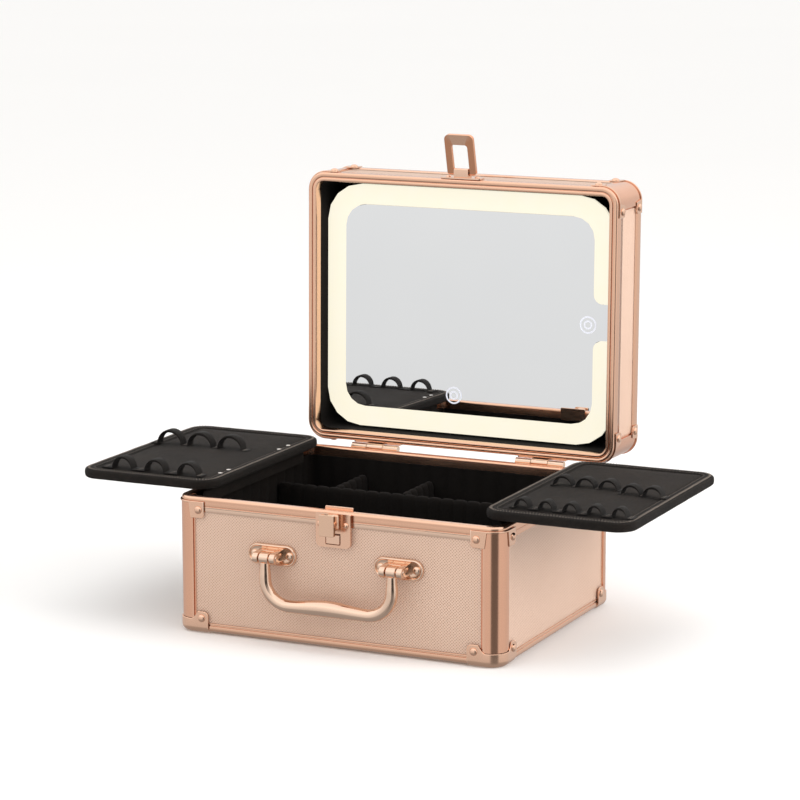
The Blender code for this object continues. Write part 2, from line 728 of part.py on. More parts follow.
def make_hasp(lid_axis):
    """The plate and clip sit on the lid's front wall; the ring turns in the clip."""
    front = -HALF_D - GAP
    pivot_y, pivot_z = -HALF_D - HASP_STANDOFF, lid_level(HASP_RISE)
    plate = prism(
        rounded_rectangle(0.039, 0.0125, 0.003, (0, pivot_z + 0.0008)),
        front - 0.0012,
        front,
        "Y",
    )
    count = 4 * (CORNER_STEPS + 1)
    depth = CLIP_OUTER + HASP_STANDOFF - GAP - 0.0006
    outer = rounded_rectangle(
        depth,
        2 * CLIP_OUTER,
        0.0030,
        (pivot_y - CLIP_OUTER + depth / 2, pivot_z),
    )
    first = 2.5 - (CORNER_STEPS + 1) / 2
    turns = [2 * pi * (k + first) / count for k in range(count)]
    bore = [(pivot_y + CLIP_BORE * cos(t), pivot_z + CLIP_BORE * sin(t)) for t in turns]
    clip = window_plate(outer, bore, -CLIP_WIDTH / 2, CLIP_WIDTH / 2, "X")
    piece = finish_object("hasp_plate", plate, POLISHED_METAL, lid_axis)
    cut_or_join(piece, clip, "UNION")

    # the ring is drawn hanging from its pivot, then turned up about it
    ring_axis = bpy.data.objects.new("hasp_axis", None)
    ring_axis.parent = lid_axis
    ring_axis.matrix_parent_inverse = lid_axis.matrix_basis.inverted()
    ring_axis.location = (0, pivot_y, pivot_z)
    bpy.context.scene.collection.objects.link(ring_axis)
    bar = HASP_THICK / 2
    ring_height = HASP_REACH + bar
    outer = rounded_rectangle(
        HASP_WIDTH, ring_height, 0.0042, (0, pivot_z + bar - ring_height / 2)
    )
    window_height = HASP_WINDOW_REACH - bar
    window = rounded_rectangle(
        HASP_WINDOW_WIDTH, window_height, 0.0008, (0, pivot_z - bar - window_height / 2)
    )
    ring = window_plate(outer, window, pivot_y - bar, pivot_y + bar, "Y")
    finish_object("hasp_ring", ring, POLISHED_METAL, ring_axis)
    ring_axis.rotation_euler = (radians(LID_OPEN_DEG + HASP_LEAN_DEG - 180), 0, 0)


# ---- brush boards ----------------------------------------------------------
def strap_outline(start, end, arches, level):
    """Side view of a strap: flat on the board, with an arch for each loop."""

    def rise_at(x):
        for middle, width, rise in arches:
            t = 2 * (x - middle) / width
            if abs(t) < 1:
                return rise * (1 - t * t) ** 0.5
        return 0.0

    marks = [start]
    for middle, width, _ in arches:
        marks += [middle - width / 2 * cos(pi * k / 8) for k in range(9)]
    marks.append(end)
    top = [(x, level + STRAP_THICK + rise_at(x)) for x in marks]
    under = [(x, level + STRAP_UNDERSIDE * rise_at(x)) for x in marks]
    return top + under[::-1]


def make_board(name, sx, straps):
    axis = bpy.data.objects.new("board_axis_" + name, None)
    axis.location = (sx * BOARD_HINGE_X, 0, BOARD_HINGE_Z)
    bpy.context.scene.collection.objects.link(axis)
    low, high = BOARD_LOW, BOARD_LOW + BOARD_THICK
    middle_x = sx * (BOARD_INNER_X + BOARD_WIDTH / 2)
    loops = []
    edge = BOARD_EDGE
    for level, inset in ((low, edge), (low + edge, 0), (high - edge, 0), (high, edge)):
        outline = rounded_rectangle(
            BOARD_WIDTH - 2 * inset, BOARD_LENGTH - 2 * inset, BOARD_RADIUS - inset, (middle_x, 0)
        )
        loops.append(on_plane(outline, level, "Z"))
    finish_object("brush_board_" + name, bridge(loops, False), CHARCOAL, axis)
    for strap_name, start, end, arches, y in straps:
        outline = [
            (sx * x, z) for x, z in strap_outline(start, end, arches, high + GAP)
        ]
        bm = prism(outline, y - STRAP_WIDTH / 2, y + STRAP_WIDTH / 2, "Y")
        finish_object("elastic_" + name + "_" + strap_name, bm, ELASTIC, axis)


def evenly(first, pitch, count, width, rise):
    return [(first + pitch * k, width, rise) for k in range(count)]


LEFT_STRAPS = (
    ("near", 0.1400, 0.2380, evenly(0.1540, 0.0320, 3, 0.0190, 0.0105), -0.0905),
    ("far", 0.1540, 0.2500, evenly(0.1710, 0.0305, 3, 0.0240, 0.0125), 0.0180),
)
RIGHT_STRAPS = (
    ("near", 0.1440, 0.2520, evenly(0.1545, 0.0213, 5, 0.0125, 0.0080), -0.0875),
    ("far", 0.1430, 0.2050, evenly(0.1535, 0.0205, 3, 0.0165, 0.0085), 0.0040),
    ("outer", 0.2070, 0.2500, evenly(0.2185, 0.0190, 2, 0.0165, 0.0085), -0.0060),
)


def main():
    clear_scene()
    make_base_frames()
    make_base_panels()
    make_base_corners()
    make_base_inside()
    make_latch()
    make_handle()

    lid_axis = bpy.data.objects.new("lid_axis", None)
    lid_axis.location = PIVOT
    bpy.context.scene.collection.objects.link(lid_axis)
    bpy.context.view_layer.update()
    make_hinges(lid_axis)
    make_lid_shell(lid_axis)
    make_lid_corners(lid_axis)
    make_mirror(lid_axis)
    make_hasp(lid_axis)
    lid_axis.rotation_euler = (-radians(LID_OPEN_DEG), 0, 0)

    make_board("left", -1, LEFT_STRAPS)
    make_board("right", 1, RIGHT_STRAPS)
    bpy.context.view_layer.update()


main()
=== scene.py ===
"""The look of the makeup train case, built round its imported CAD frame.

Every piece is drawn in metres in the frame's own coordinates: X along the
width, -Y the front, +Z up.  Lid pieces are drawn with the lid shut and then
turned open about the hinge pins.
"""

import json
from math import atan2, cos, degrees, pi, radians, sin, sqrt

import bmesh
import bpy
import numpy as np
from mathutils import Matrix, Vector, noise


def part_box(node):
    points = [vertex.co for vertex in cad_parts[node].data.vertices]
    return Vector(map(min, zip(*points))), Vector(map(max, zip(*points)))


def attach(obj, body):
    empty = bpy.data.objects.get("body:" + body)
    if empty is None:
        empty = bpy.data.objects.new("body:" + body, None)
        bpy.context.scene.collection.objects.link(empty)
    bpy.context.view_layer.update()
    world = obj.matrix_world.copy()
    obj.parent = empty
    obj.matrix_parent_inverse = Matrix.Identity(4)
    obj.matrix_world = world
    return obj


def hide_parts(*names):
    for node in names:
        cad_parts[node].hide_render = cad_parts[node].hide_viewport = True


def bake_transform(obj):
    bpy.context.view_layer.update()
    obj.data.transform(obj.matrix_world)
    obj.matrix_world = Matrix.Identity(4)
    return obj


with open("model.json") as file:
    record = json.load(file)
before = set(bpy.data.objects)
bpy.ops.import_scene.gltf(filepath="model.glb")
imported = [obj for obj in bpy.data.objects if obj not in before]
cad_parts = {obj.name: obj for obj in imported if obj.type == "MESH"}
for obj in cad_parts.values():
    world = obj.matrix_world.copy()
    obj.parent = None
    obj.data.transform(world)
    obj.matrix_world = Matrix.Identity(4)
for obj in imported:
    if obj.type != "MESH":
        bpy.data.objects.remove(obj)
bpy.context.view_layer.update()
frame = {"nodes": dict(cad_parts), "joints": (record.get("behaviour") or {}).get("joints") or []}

# ---- places read from the frame --------------------------------------------
JOINTS = {joint["name"]: joint for joint in frame["joints"]}
_, RIM_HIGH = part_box("base_rim_frame")
HALF_W, HALF_D, TOP = RIM_HIGH.x, RIM_HIGH.y, RIM_HIGH.z
BASE_RADIUS = 0.014
LID_RADIUS = 0.016
LID_GAP = 0.0012
LID_LOW = TOP + LID_GAP
PIVOT = Vector(JOINTS["lid_hinge"]["pos_m"])


def lid_opening():
    """How far the lid stands open at rest, from the way its top panel faces."""
    faces = frame["nodes"]["lid_top_panel"].data.polygons
    normal = max(faces, key=lambda face: face.area).normal
    normal = normal if normal.y > 0 else -normal
    return atan2(normal.y, normal.z)


def about(point, turn):
    """Turns about the X axis through a point."""
    return (
        Matrix.Translation(point) @ Matrix.Rotation(turn, 4, "X") @ Matrix.Translation(-Vector(point))
    )


LID_OPEN = lid_opening()
LID_TURN = about(PIVOT, -LID_OPEN)


# ---- mesh helpers ----------------------------------------------------------
def piece(name, bm, material, body, nodes=(), turn=None, bevel=0.0003, sharp=35, steps=2):
    """Makes a finished piece from a mesh: shading, rounded edges, material, body."""
    bmesh.ops.recalc_face_normals(bm, faces=bm.faces)
    if turn:
        bm.transform(turn)
    mesh = bpy.data.meshes.new(name)
    bm.to_mesh(mesh)
    bm.free()
    mesh.shade_smooth()
    mesh.set_sharp_from_angle(angle=radians(sharp))
    mesh.materials.append(material)
    made = bpy.data.objects.new(name, mesh)
    bpy.context.scene.collection.objects.link(made)
    if bevel:
        rounding = made.modifiers.new("rounding", "BEVEL")
        rounding.width = bevel
        rounding.segments = steps
        rounding.limit_method = "ANGLE"
        rounding.angle_limit = radians(32)
        rounding.harden_normals = True
    if body:
        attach(made, body)
    if nodes:
        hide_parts(*nodes)
    return made


def add_loops(bm, loops, closed=False, caps=True):
    """Joins loops of equal length into a skin; open skins are capped at both ends."""
    rows = [[bm.verts.new(point) for point in loop] for loop in loops]
    pairs = list(zip(rows, rows[1:]))
    if closed:
        pairs.append((rows[-1], rows[0]))
    count = len(rows[0])
    for low, high in pairs:
        for i in range(count):
            k = (i + 1) % count
            bm.faces.new((low[i], low[k], high[k], high[i]))
    if caps and not closed:
        bm.faces.new(rows[0])
        bm.faces.new(rows[-1])
    return bm


def place(outline, level, axis):
    """A flat outline as points at a level on one axis."""
    if axis == "Z":
        return [Vector((u, v, level)) for u, v in outline]
    if axis == "Y":
        return [Vector((u, level, v)) for u, v in outline]
    return [Vector((level, u, v)) for u, v in outline]


def rounded_polygon(corners, steps=6):
    """Corners as (u, v, radius); each is rounded by its own radius."""
    points = []
    count = len(corners)
    for i, (u, v, radius) in enumerate(corners):
        here = Vector((u, v))
        if radius <= 0:
            points.append((u, v))
            continue
        before = Vector(corners[i - 1][:2]) - here
        after = Vector(corners[(i + 1) % count][:2]) - here
        half = before.angle(after) / 2
        reach = radius / np.tan(half)
        middle = here + (before.normalized() + after.normalized()).normalized() * radius / sin(half)
        start = here + before.normalized() * reach - middle
        end = here + after.normalized() * reach - middle
        first = atan2(start.y, start.x)
        sweep = (atan2(end.y, end.x) - first + pi) % (2 * pi) - pi
        for k in range(steps + 1):
            turn = first + sweep * k / steps
            points.append((middle.x + radius * cos(turn), middle.y + radius * sin(turn)))
    return points


def rectangle(width, height, radius, centre=(0, 0), steps=6):
    u, v = width / 2, height / 2
    cu, cv = centre
    corners = [(cu + u, cv + v), (cu - u, cv + v), (cu - u, cv - v), (cu + u, cv - v)]
    return rounded_polygon([(x, y, radius) for x, y in corners], steps)


def circle(radius, centre=(0, 0), steps=24, start=0.0):
    turns = [start + 2 * pi * k / steps for k in range(steps)]
    return [(centre[0] + radius * cos(t), centre[1] + radius * sin(t)) for t in turns]


def add_plate(bm, outlines, low, high, axis):
    """A flat plate from an outer outline and any windows."""
    made = bmesh.new()
    for outline in outlines:
        ring = [made.verts.new(point) for point in place(outline, low, axis)]
        for i, vert in enumerate(ring):
            made.edges.new((vert, ring[(i + 1) % len(ring)]))
    if len(outlines) == 1:
        made.faces.new(list(made.verts))
    else:
        bmesh.ops.triangle_fill(made, use_beauty=True, edges=list(made.edges))
    step = {"X": Vector((1, 0, 0)), "Y": Vector((0, 1, 0)), "Z": Vector((0, 0, 1))}[axis] * (high - low)
    grown = bmesh.ops.extrude_face_region(made, geom=list(made.faces))
    moved = [item for item in grown["geom"] if isinstance(item, bmesh.types.BMVert)]
    bmesh.ops.translate(made, verts=moved, vec=step)
    merge(bm, made)
    return bm


def merge(bm, other, turn=None):
    """Adds one mesh to another."""
    if turn:
        other.transform(turn)
    keep = bpy.data.meshes.new("merge")
    other.to_mesh(keep)
    other.free()
    bm.from_mesh(keep)
    bpy.data.meshes.remove(keep)
    return bm


def case_outline(inset, radius, steps=10):
    return rectangle(2 * (HALF_W - inset), 2 * (HALF_D - inset), max(radius - inset, 0.0006), steps=steps)


def frame_ring(profile, radius):
    """A frame round the case from a closed profile of (inset, height) points."""
    loops = [place(case_outline(inset, radius), z, "Z") for inset, z in profile]
    return add_loops(bmesh.new(), loops, closed=True)


def add_lathe(bm, profile, centre, direction, steps=24):
    """Turns (radius, height) points about a direction; a radius of 0 closes an end."""
    direction = Vector(direction).normalized()
    side = direction.orthogonal().normalized()
    other = direction.cross(side)
    centre = Vector(centre)
    rows = []
    for radius, height in profile:
        at = centre + direction * height
        if radius == 0:
            rows.append([bm.verts.new(at)])
        else:
            rows.append(
                [bm.verts.new(at + side * u + other * v) for u, v in circle(radius, steps=steps)]
            )
    for low, high in zip(rows, rows[1:]):
        for i in range(steps):
            k = (i + 1) % steps
            ring = [low[i % len(low)], low[k % len(low)], high[k % len(high)], high[i % len(high)]]
            bm.faces.new(list(dict.fromkeys(ring)))
    for row in (rows[0], rows[-1]):
        if len(row) > 1:
            bm.faces.new(row)
    return bm


def add_rivet(bm, centre, direction, radius=0.0033, rise=0.0017):
    """A dome-headed rivet with a thin skirt."""
    dome = [(radius * cos(t), 0.0002 + rise * sin(t)) for t in np.linspace(0, pi / 2, 7)[:-1]]
    skirt = [(radius * 0.96, -0.0012), (radius * 1.02, 0)]
    return add_lathe(bm, skirt + dome + [(0, rise + 0.0002)], centre, direction)


def add_tube(bm, path, steps=20):
    """A round bar along (point, radius) stations, with capped ends."""
    points = [Vector(point) for point, _ in path]
    tangents = []
    for i in range(len(points)):
        step = points[min(i + 1, len(points) - 1)] - points[max(i - 1, 0)]
        tangents.append(step.normalized())
    side = tangents[0].orthogonal().normalized()
    loops = []
    for point, tangent, (_, radius) in zip(points, tangents, path):
        side = (side - tangent * side.dot(tangent)).normalized()
        other = tangent.cross(side)
        loops.append([point + side * u + other * v for u, v in circle(radius, steps=steps)])
    return add_loops(bm, loops)


def add_stadium_bar(bm, start, end, width, height, up=(0, 0, 1)):
    """A small capsule-like bar between two points, used for stitches."""
    start, end, up = Vector(start), Vector(end), Vector(up)
    along = (end - start).normalized()
    side = along.cross(up).normalized()
    stations = ((0.0, 0.45), (0.12, 0.9), (0.5, 1.0), (0.88, 0.9), (1.0, 0.45))
    loops = []
    for share, grow in stations:
        at = start.lerp(end, share)
        loops.append(
            [at + side * u * grow * width / 2 + up * v * grow * height / 2 for u, v in circle(1, steps=6)]
        )
    return add_loops(bm, loops)


def corner_point(sign, radius, along, out, z):
    """A point on the sheet wrapped round an upright corner.

    along is the distance round the corner from its middle, negative towards the
    front or back and positive towards the side; out is the distance outwards.
    """
    sx, sy = sign
    half = radius * pi / 4
    if along < -half:
        return Vector((sx * (HALF_W - radius + along + half), sy * (HALF_D + out), z))
    if along > half:
        return Vector((sx * (HALF_W + out), sy * (HALF_D - radius - along + half), z))
    turn = (along + half) / radius
    return Vector(
        (
            sx * (HALF_W - radius + (radius + out) * sin(turn)),
            sy * (HALF_D - radius + (radius + out) * cos(turn)),
            z,
        )
    )


def corner_normal(sign, radius, along):
    out = corner_point(sign, radius, along, 1, 0) - corner_point(sign, radius, along, 0, 0)
    return out.normalized()


def corner_marks(radius, reach, extra):
    """Distances along a wrapped sheet: even round the bend, with extra ones on the legs."""
    half = radius * pi / 4
    bend = [half * k / 9 for k in range(-9, 10)]
    marks = bend + [s * m for m in extra for s in (-1, 1) if m > half] + [-reach, reach]
    return sorted(set(round(mark, 6) for mark in marks))


def add_wrap(bm, sign, radius, marks, profile_at):
    """A sheet round a corner; profile_at(along) gives a closed (out, height) profile."""
    loops = [
        [corner_point(sign, radius, along, out, z) for out, z in profile_at(along)] for along in marks
    ]
    return add_loops(bm, loops)


def ease(t):
    """Quarter-circle rise from 0 to 1."""
    t = max(0.0, min(1.0, t))
    return sqrt(max(0.0, 1 - (1 - t) ** 2))


CORNERS = {
    "front_left": (-1, -1),
    "front_right": (1, -1),
    "back_right": (1, 1),
    "back_left": (-1, 1),
}


# ---- materials -------------------------------------------------------------
class Finish:
    """A Principled material and short ways to wire nodes into it."""

    def __init__(self, name, **values):
        self.material = bpy.data.materials.new(name)
        self.material.use_nodes = True
        self.tree = self.material.node_tree
        self.shader = self.tree.nodes["Principled BSDF"]
        for key, value in values.items():
            key = key.replace("_", " ").title().replace("Ior", "IOR")
            self.shader.inputs[key].default_value = value
        coords = self.node("ShaderNodeTexCoord")
        self.place = coords.outputs["Object"]
        self.facing = coords.outputs["Normal"]

    def node(self, kind, inputs=(), **settings):
        made = self.tree.nodes.new(kind)
        for key, value in settings.items():
            setattr(made, key, value)
        for key, value in dict(inputs).items():
            self.feed(made.inputs[key], value)
        return made

    def feed(self, socket, value):
        if isinstance(value, bpy.types.NodeSocket):
            self.tree.links.new(value, socket)
        else:
            socket.default_value = value

    def math(self, operation, *values):
        made = self.node("ShaderNodeMath", enumerate(values), operation=operation)
        return made.outputs[0]

    def split(self, vector):
        return self.node("ShaderNodeSeparateXYZ", {0: vector}).outputs

    def scaled(self, scale, vector=None):
        """Coordinates stretched by a scale for each axis."""
        made = self.node("ShaderNodeMapping", {"Vector": vector or self.place, "Scale": scale})
        return made.outputs[0]

    def noise(self, scale, detail=3.0, roughness=0.5, vector=None):
        made = self.node(
            "ShaderNodeTexNoise",
            {"Vector": vector or self.place, "Scale": scale, "Detail": detail, "Roughness": roughness},
        )
        return made.outputs["Fac"]

    def remap(self, value, low, high, to_low=0.0, to_high=1.0, smooth=False):
        made = self.node(
            "ShaderNodeMapRange",
            {0: value, 1: low, 2: high, 3: to_low, 4: to_high},
            interpolation_type="SMOOTHSTEP" if smooth else "LINEAR",
        )
        return made.outputs[0]

    def mix(self, share, first, second):
        made = self.node("ShaderNodeMix", {0: share}, data_type="RGBA")
        for index, value in ((6, first), (7, second)):
            self.feed(made.inputs[index], value)
        return made.outputs[2]

    def choose(self, share, first, second):
        return self.node("ShaderNodeMix", {0: share, 2: first, 3: second}).outputs[0]

    def bump(self, height, distance, strength=1.0, normal=None):
        made = self.node(
            "ShaderNodeBump", {"Height": height, "Distance": distance, "Strength": strength}
        )
        if normal:
            self.feed(made.inputs["Normal"], normal)
        return made.outputs["Normal"]

    def give(self, **values):
        for key, value in values.items():
            self.feed(self.shader.inputs[key.replace("_", " ").title()], value)
        return self.material

    def edge_highlight_mask(self):
        """Close to 1 on raised edges and 0 elsewhere; marks where a painted highlight goes."""
        pointiness = self.node("ShaderNodeNewGeometry").outputs["Pointiness"]
        return self.remap(pointiness, 0.52, 0.60, smooth=True)


def rgb(red, green, blue):
    """A colour given on the usual 0 to 255 screen scale, as the shader wants it."""
    def linear(value):
        value /= 255
        return value / 12.92 if value <= 0.04045 else ((value + 0.055) / 1.055) ** 2.4

    return (linear(red), linear(green), linear(blue), 1.0)


def metal(name, colour, pale, roughness, brush, depth=0.000008, variation=0.06):
    """Anodised metal with fine brushing and a painted highlight on raised edges; brush stretches the grain
    along one axis.
    """
    look = Finish(name, metallic=1.0)
    grain = look.noise(1.0, 4.0, 0.6, look.scaled(brush))
    cloud = look.noise(28.0, 2.0)
    tone = look.math("ADD", look.math("MULTIPLY", grain, 0.65), look.math("MULTIPLY", cloud, 0.35))
    shade = look.remap(tone, 0.3, 0.7, smooth=True)
    dark = tuple(channel * (1 - variation) for channel in colour[:3]) + (1.0,)
    base = look.mix(shade, dark, colour)
    # painted highlight: raised edges are mixed halfway towards the pale colour, standing in for light caught
    # on the rounding
    base = look.mix(look.math("MULTIPLY", look.edge_highlight_mask(), 0.5), base, pale)
    rough = look.remap(tone, 0.25, 0.75, roughness * 0.75, roughness * 1.3)
    return look.give(base_color=base, roughness=rough, normal=look.bump(grain, depth))


ALONG_X = (90.0, 5200.0, 5200.0)
UPRIGHT = (5200.0, 5200.0, 90.0)
EVEN = (2600.0, 2600.0, 2600.0)

SATIN = metal("satin_rose_metal", rgb(247, 196, 166), rgb(255, 232, 212), 0.20, ALONG_X)
POST_METAL = metal("satin_rose_upright", rgb(242, 182, 150), rgb(255, 230, 210), 0.16, UPRIGHT)
POLISHED = metal("polished_rose_metal", rgb(240, 196, 166), rgb(255, 232, 212), 0.13, EVEN, 0.000004, 0.06)
HANDLE_METAL = metal("handle_rose_metal", rgb(246, 212, 188), rgb(255, 234, 216), 0.11, EVEN, 0.000004, 0.06)
PALE_SHEET = metal("bracket_rose_metal", rgb(248, 202, 174), rgb(255, 234, 216), 0.20, EVEN, 0.000006, 0.06)
RIVET_SILVER = metal("small_rivet_metal", rgb(214, 208, 202), rgb(245, 240, 236), 0.22, EVEN, 0.000004)


def faced_coordinates(look):
    """Two coordinates along the surface, picked by the way the piece's face points."""
    x, y, z = look.split(look.place)
    nx, _, nz = look.split(look.facing)
    sideways = look.math("GREATER_THAN", look.math("ABSOLUTE", nx), 0.6)
    flat = look.math("GREATER_THAN", look.math("ABSOLUTE", nz), 0.6)
    return look.choose(sideways, x, y), look.choose(flat, z, y)


def textured_panel():
    """Coated board embossed with a fine staggered weave of small raised diamonds, with painted shade in the
    recesses between them.
    """
    look = Finish("textured_panel", coat_weight=0.12, coat_roughness=0.35, specular_ior_level=0.45)
    u, v = faced_coordinates(look)
    pitch = 0.00265
    wobble = look.math("MULTIPLY", look.math("SUBTRACT", look.noise(260.0, 2.0), 0.5), 1.5)
    a = look.math("COSINE", look.math("ADD", look.math("MULTIPLY", u, 2 * pi / pitch), wobble))
    b = look.math("COSINE", look.math("ADD", look.math("MULTIPLY", v, 2 * pi / pitch), wobble))
    weave = look.math("MULTIPLY", a, b)
    height = look.remap(weave, -0.92, -0.05, smooth=True)
    cloud = look.remap(look.noise(11.0, 2.0), 0.3, 0.7)
    fine = look.noise(2400.0, 2.0)
    raised = look.mix(cloud, rgb(213, 181, 160), rgb(219, 188, 168))
    raised = look.mix(look.math("MULTIPLY", fine, 0.35), raised, rgb(200, 168, 147))
    # painted shade: the recesses between the raised diamonds take a darker colour than the diamonds
    base = look.mix(height, rgb(166, 130, 109), raised)
    rough = look.remap(height, 0.0, 1.0, 0.62, 0.46)
    surface = look.math("ADD", height, look.math("MULTIPLY", fine, 0.12))
    return look.give(base_color=base, roughness=rough, normal=look.bump(surface, 0.0002))


def woven(name, dark, light, pitch, depth, sheen=0.35, roughness=0.86):
    """Plain-weave cloth: two crossing sets of threads with painted shade in the hollows between them, slubs
    and a soft sheen.
    """
    look = Finish(
        name, sheen_weight=sheen, sheen_roughness=0.45, specular_ior_level=0.25
    )
    u, v = faced_coordinates(look)
    slub = look.math("MULTIPLY", look.math("SUBTRACT", look.noise(420.0, 3.0), 0.5), 2.2)
    warp = look.math("SINE", look.math("ADD", look.math("MULTIPLY", u, 2 * pi / pitch), slub))
    weft = look.math("SINE", look.math("ADD", look.math("MULTIPLY", v, 2 * pi / pitch), slub))
    weave = look.remap(look.math("MULTIPLY", warp, weft), -1.0, 1.0, smooth=True)
    fleck = look.remap(look.noise(430.0, 5.0, 0.8), 0.42, 0.62)
    cloud = look.remap(look.noise(24.0, 3.0), 0.3, 0.7)
    # painted shade in the hollows between the threads, mixed with the yarn's own random flecks: both pull the
    # colour from light towards dark
    share = look.math("MULTIPLY", look.math("ADD", weave, fleck), 0.5)
    base = look.mix(share, dark, light)
    base = look.mix(look.math("MULTIPLY", cloud, 0.35), base, dark)
    look.give(roughness=look.remap(fleck, 0.0, 1.0, roughness, min(1.0, roughness + 0.1)))
    surface = look.math("ADD", weave, look.math("MULTIPLY", fleck, 0.6))
    return look.give(base_color=base, normal=look.bump(surface, depth))


def ribbed_elastic():
    """Narrow elastic tape with ribs along its length, painted shade in the grooves between them and slightly
    frayed colour.
    """
    look = Finish("elastic", sheen_weight=0.06, sheen_roughness=0.5, specular_ior_level=0.2)
    _, y, _ = look.split(look.place)
    ribs = look.math("SINE", look.math("MULTIPLY", y, 2 * pi / 0.0011))
    height = look.remap(ribs, -1.0, 1.0, smooth=True)
    fleck = look.remap(look.noise(1700.0, 3.0, 0.7), 0.3, 0.75)
    # painted shade: the grooves between the ribs go darker, mixed with the tape's own random flecks
    share = look.math("MULTIPLY", look.math("ADD", height, fleck), 0.5)
    base = look.mix(share, rgb(6, 5, 4), rgb(36, 31, 28))
    surface = look.math("ADD", height, look.math("MULTIPLY", fleck, 0.5))
    look.give(roughness=look.remap(fleck, 0.0, 1.0, 0.8, 0.95))
    return look.give(base_color=base, normal=look.bump(surface, 0.00012))


def light_band():
    """Frosted strip over warm lamps, its colour varying a little at random."""
    look = Finish("light_band", roughness=0.5, emission_strength=0.86)
    tone = look.noise(60.0, 2.0)
    colour = look.mix(tone, rgb(255, 248, 222), rgb(255, 251, 234))
    return look.give(base_color=look.mix(tone, rgb(124, 118, 106), rgb(116, 110, 98)), emission_color=colour)


def mirror():
    """Silvered glass, with the faintest waviness."""
    look = Finish("mirror", metallic=1.0, roughness=0.012)
    cloud = look.noise(9.0, 2.0)
    base = look.mix(cloud, rgb(240, 242, 244), rgb(246, 247, 248))
    return look.give(base_color=base, normal=look.bump(look.noise(3.0, 1.0), 0.00001, 0.3))


def plastic(name, dark, light, roughness):
    look = Finish(name, specular_ior_level=0.4)
    grain = look.noise(1800.0, 3.0)
    base = look.mix(grain, dark, light)
    look.give(roughness=look.remap(look.noise(40.0, 2.0), 0.3, 0.7, roughness * 0.85, roughness * 1.15))
    return look.give(base_color=base, normal=look.bump(grain, 0.00005))


PANEL = textured_panel()
CHARCOAL = woven("charcoal_fabric", rgb(4, 3, 3), rgb(57, 48, 41), 0.0021, 0.00045, 0.03)
BINDING = woven("binding_tape", rgb(3, 3, 2), rgb(45, 37, 32), 0.0023, 0.00050, 0.03)
LINING = woven("dark_lining", rgb(6, 4, 3), rgb(24, 18, 14), 0.0010, 0.00012, 0.02, 0.92)
THREAD = woven("stitching_thread", rgb(104, 94, 86), rgb(156, 145, 135), 0.0005, 0.00005, 0.06)
ELASTIC = ribbed_elastic()
GLOW = light_band()
MIRROR = mirror()
BLACK = plastic("black_plastic", rgb(16, 15, 14), rgb(28, 26, 25), 0.5)
FIBRE = plastic("bottom_board", rgb(52, 42, 36), rgb(66, 54, 46), 0.8)


# ---- base: frames, posts, brackets, guards ---------------------------------
def make_base_frames():
    rim = [
        (0.0010, -0.0125), (0.0004, -0.0124), (0.0003, -0.0121), (0.0003, -0.0089),
        (0.0001, -0.0087), (0.0000, -0.0083), (0.0000, -0.0079), (0.0001, -0.0076),
        (0.0004, -0.0074), (0.0004, -0.0070), (0.0001, -0.0068), (0.0000, -0.0065),
        (0.0003, -0.0045), (0.0000, -0.0024), (0.0000, -0.0019), (0.0002, -0.0010),
        (0.0008, -0.0003), (0.0016, 0.0000), (0.0064, 0.0000), (0.0074, -0.0003),
        (0.0079, -0.0010), (0.0080, -0.0018), (0.0080, -0.0088), (0.0010, -0.0088),
    ]
    bm = frame_ring([(inset, TOP + z) for inset, z in rim], BASE_RADIUS)
    piece("base_rim", bm, SATIN, "base", ["base_rim_frame"], bevel=0)
    foot = [
        (0.0005, 0.0093), (0.0001, 0.0091), (0.0000, 0.0087), (0.0001, 0.0081),
        (0.0006, 0.0078), (0.0006, 0.0070), (0.0001, 0.0067), (0.0000, 0.0062),
        (0.0000, 0.0042), (0.0003, 0.0032), (0.0009, 0.0023), (0.0020, 0.0016),
        (0.0040, 0.0013), (0.0080, 0.0013), (0.0080, 0.0055), (0.0010, 0.0055), (0.0010, 0.0093),
    ]
    bm = frame_ring(foot, BASE_RADIUS)
    piece("base_foot_rail", bm, SATIN, "base", ["base_bottom_frame"], bevel=0)


def post_profile(low, high, radius, reach):
    """Upright sheet: a smooth face with a turned groove and lip along each side edge."""
    half = radius * pi / 4

    def profile_at(along):
        far = abs(along) - half
        edge = reach - abs(along)
        out = 0.0003
        if far > 0:
            out = 0.0003 if edge > 0.0016 else (-0.0009 if edge > 0.0006 else -0.0004)
        return [(out, low), (out, high), (-0.0012, high), (-0.0012, low)]

    return profile_at


def post_marks(radius, leg):
    reach = radius * pi / 4 + leg - radius
    edges = [reach - 0.0018, reach - 0.0015, reach - 0.0008, reach - 0.0005]
    return corner_marks(radius, reach, edges), reach


def lobe_profile(reach, start, strip, lobe_low, lobe_high, z0, corner=0.0028, out=0.0013, under=0.0004):
    """Sheet that is a narrow strip round the bend and a rounded tab on each leg.

    Heights are measured from z0; strip is (low, high) on the bend.
    """

    def profile_at(along):
        far = abs(along)
        low, high = strip
        if far > start:
            inner = ease((far - start) / 0.0012)
            outer = ease((reach - far) / corner)
            low_end = lobe_low + corner * (1 - outer) if lobe_low < strip[0] else lobe_low
            high_end = lobe_high - corner * (1 - outer) if lobe_high > strip[1] else lobe_high
            low = strip[0] + (low_end - strip[0]) * inner
            high = strip[1] + (high_end - strip[1]) * inner
        edge = 0.0003
        return [
            (under, z0 + low), (out - edge, z0 + low), (out, z0 + low + edge),
            (out, z0 + high - edge), (out - edge, z0 + high), (under, z0 + high),
        ]

    marks = [start, start + 0.0002, start + 0.0005, start + 0.0009, start + 0.0012]
    marks += [reach - corner * (1 - cos(pi / 2 * k / 6)) for k in range(7)]
    return profile_at, marks


def add_corner_rivets(bm, sign, radius, along, z, out=0.0013, size=0.0033):
    for side in (-along, along):
        at = corner_point(sign, radius, side, out, z)
        add_rivet(bm, at, corner_normal(sign, radius, side), size)


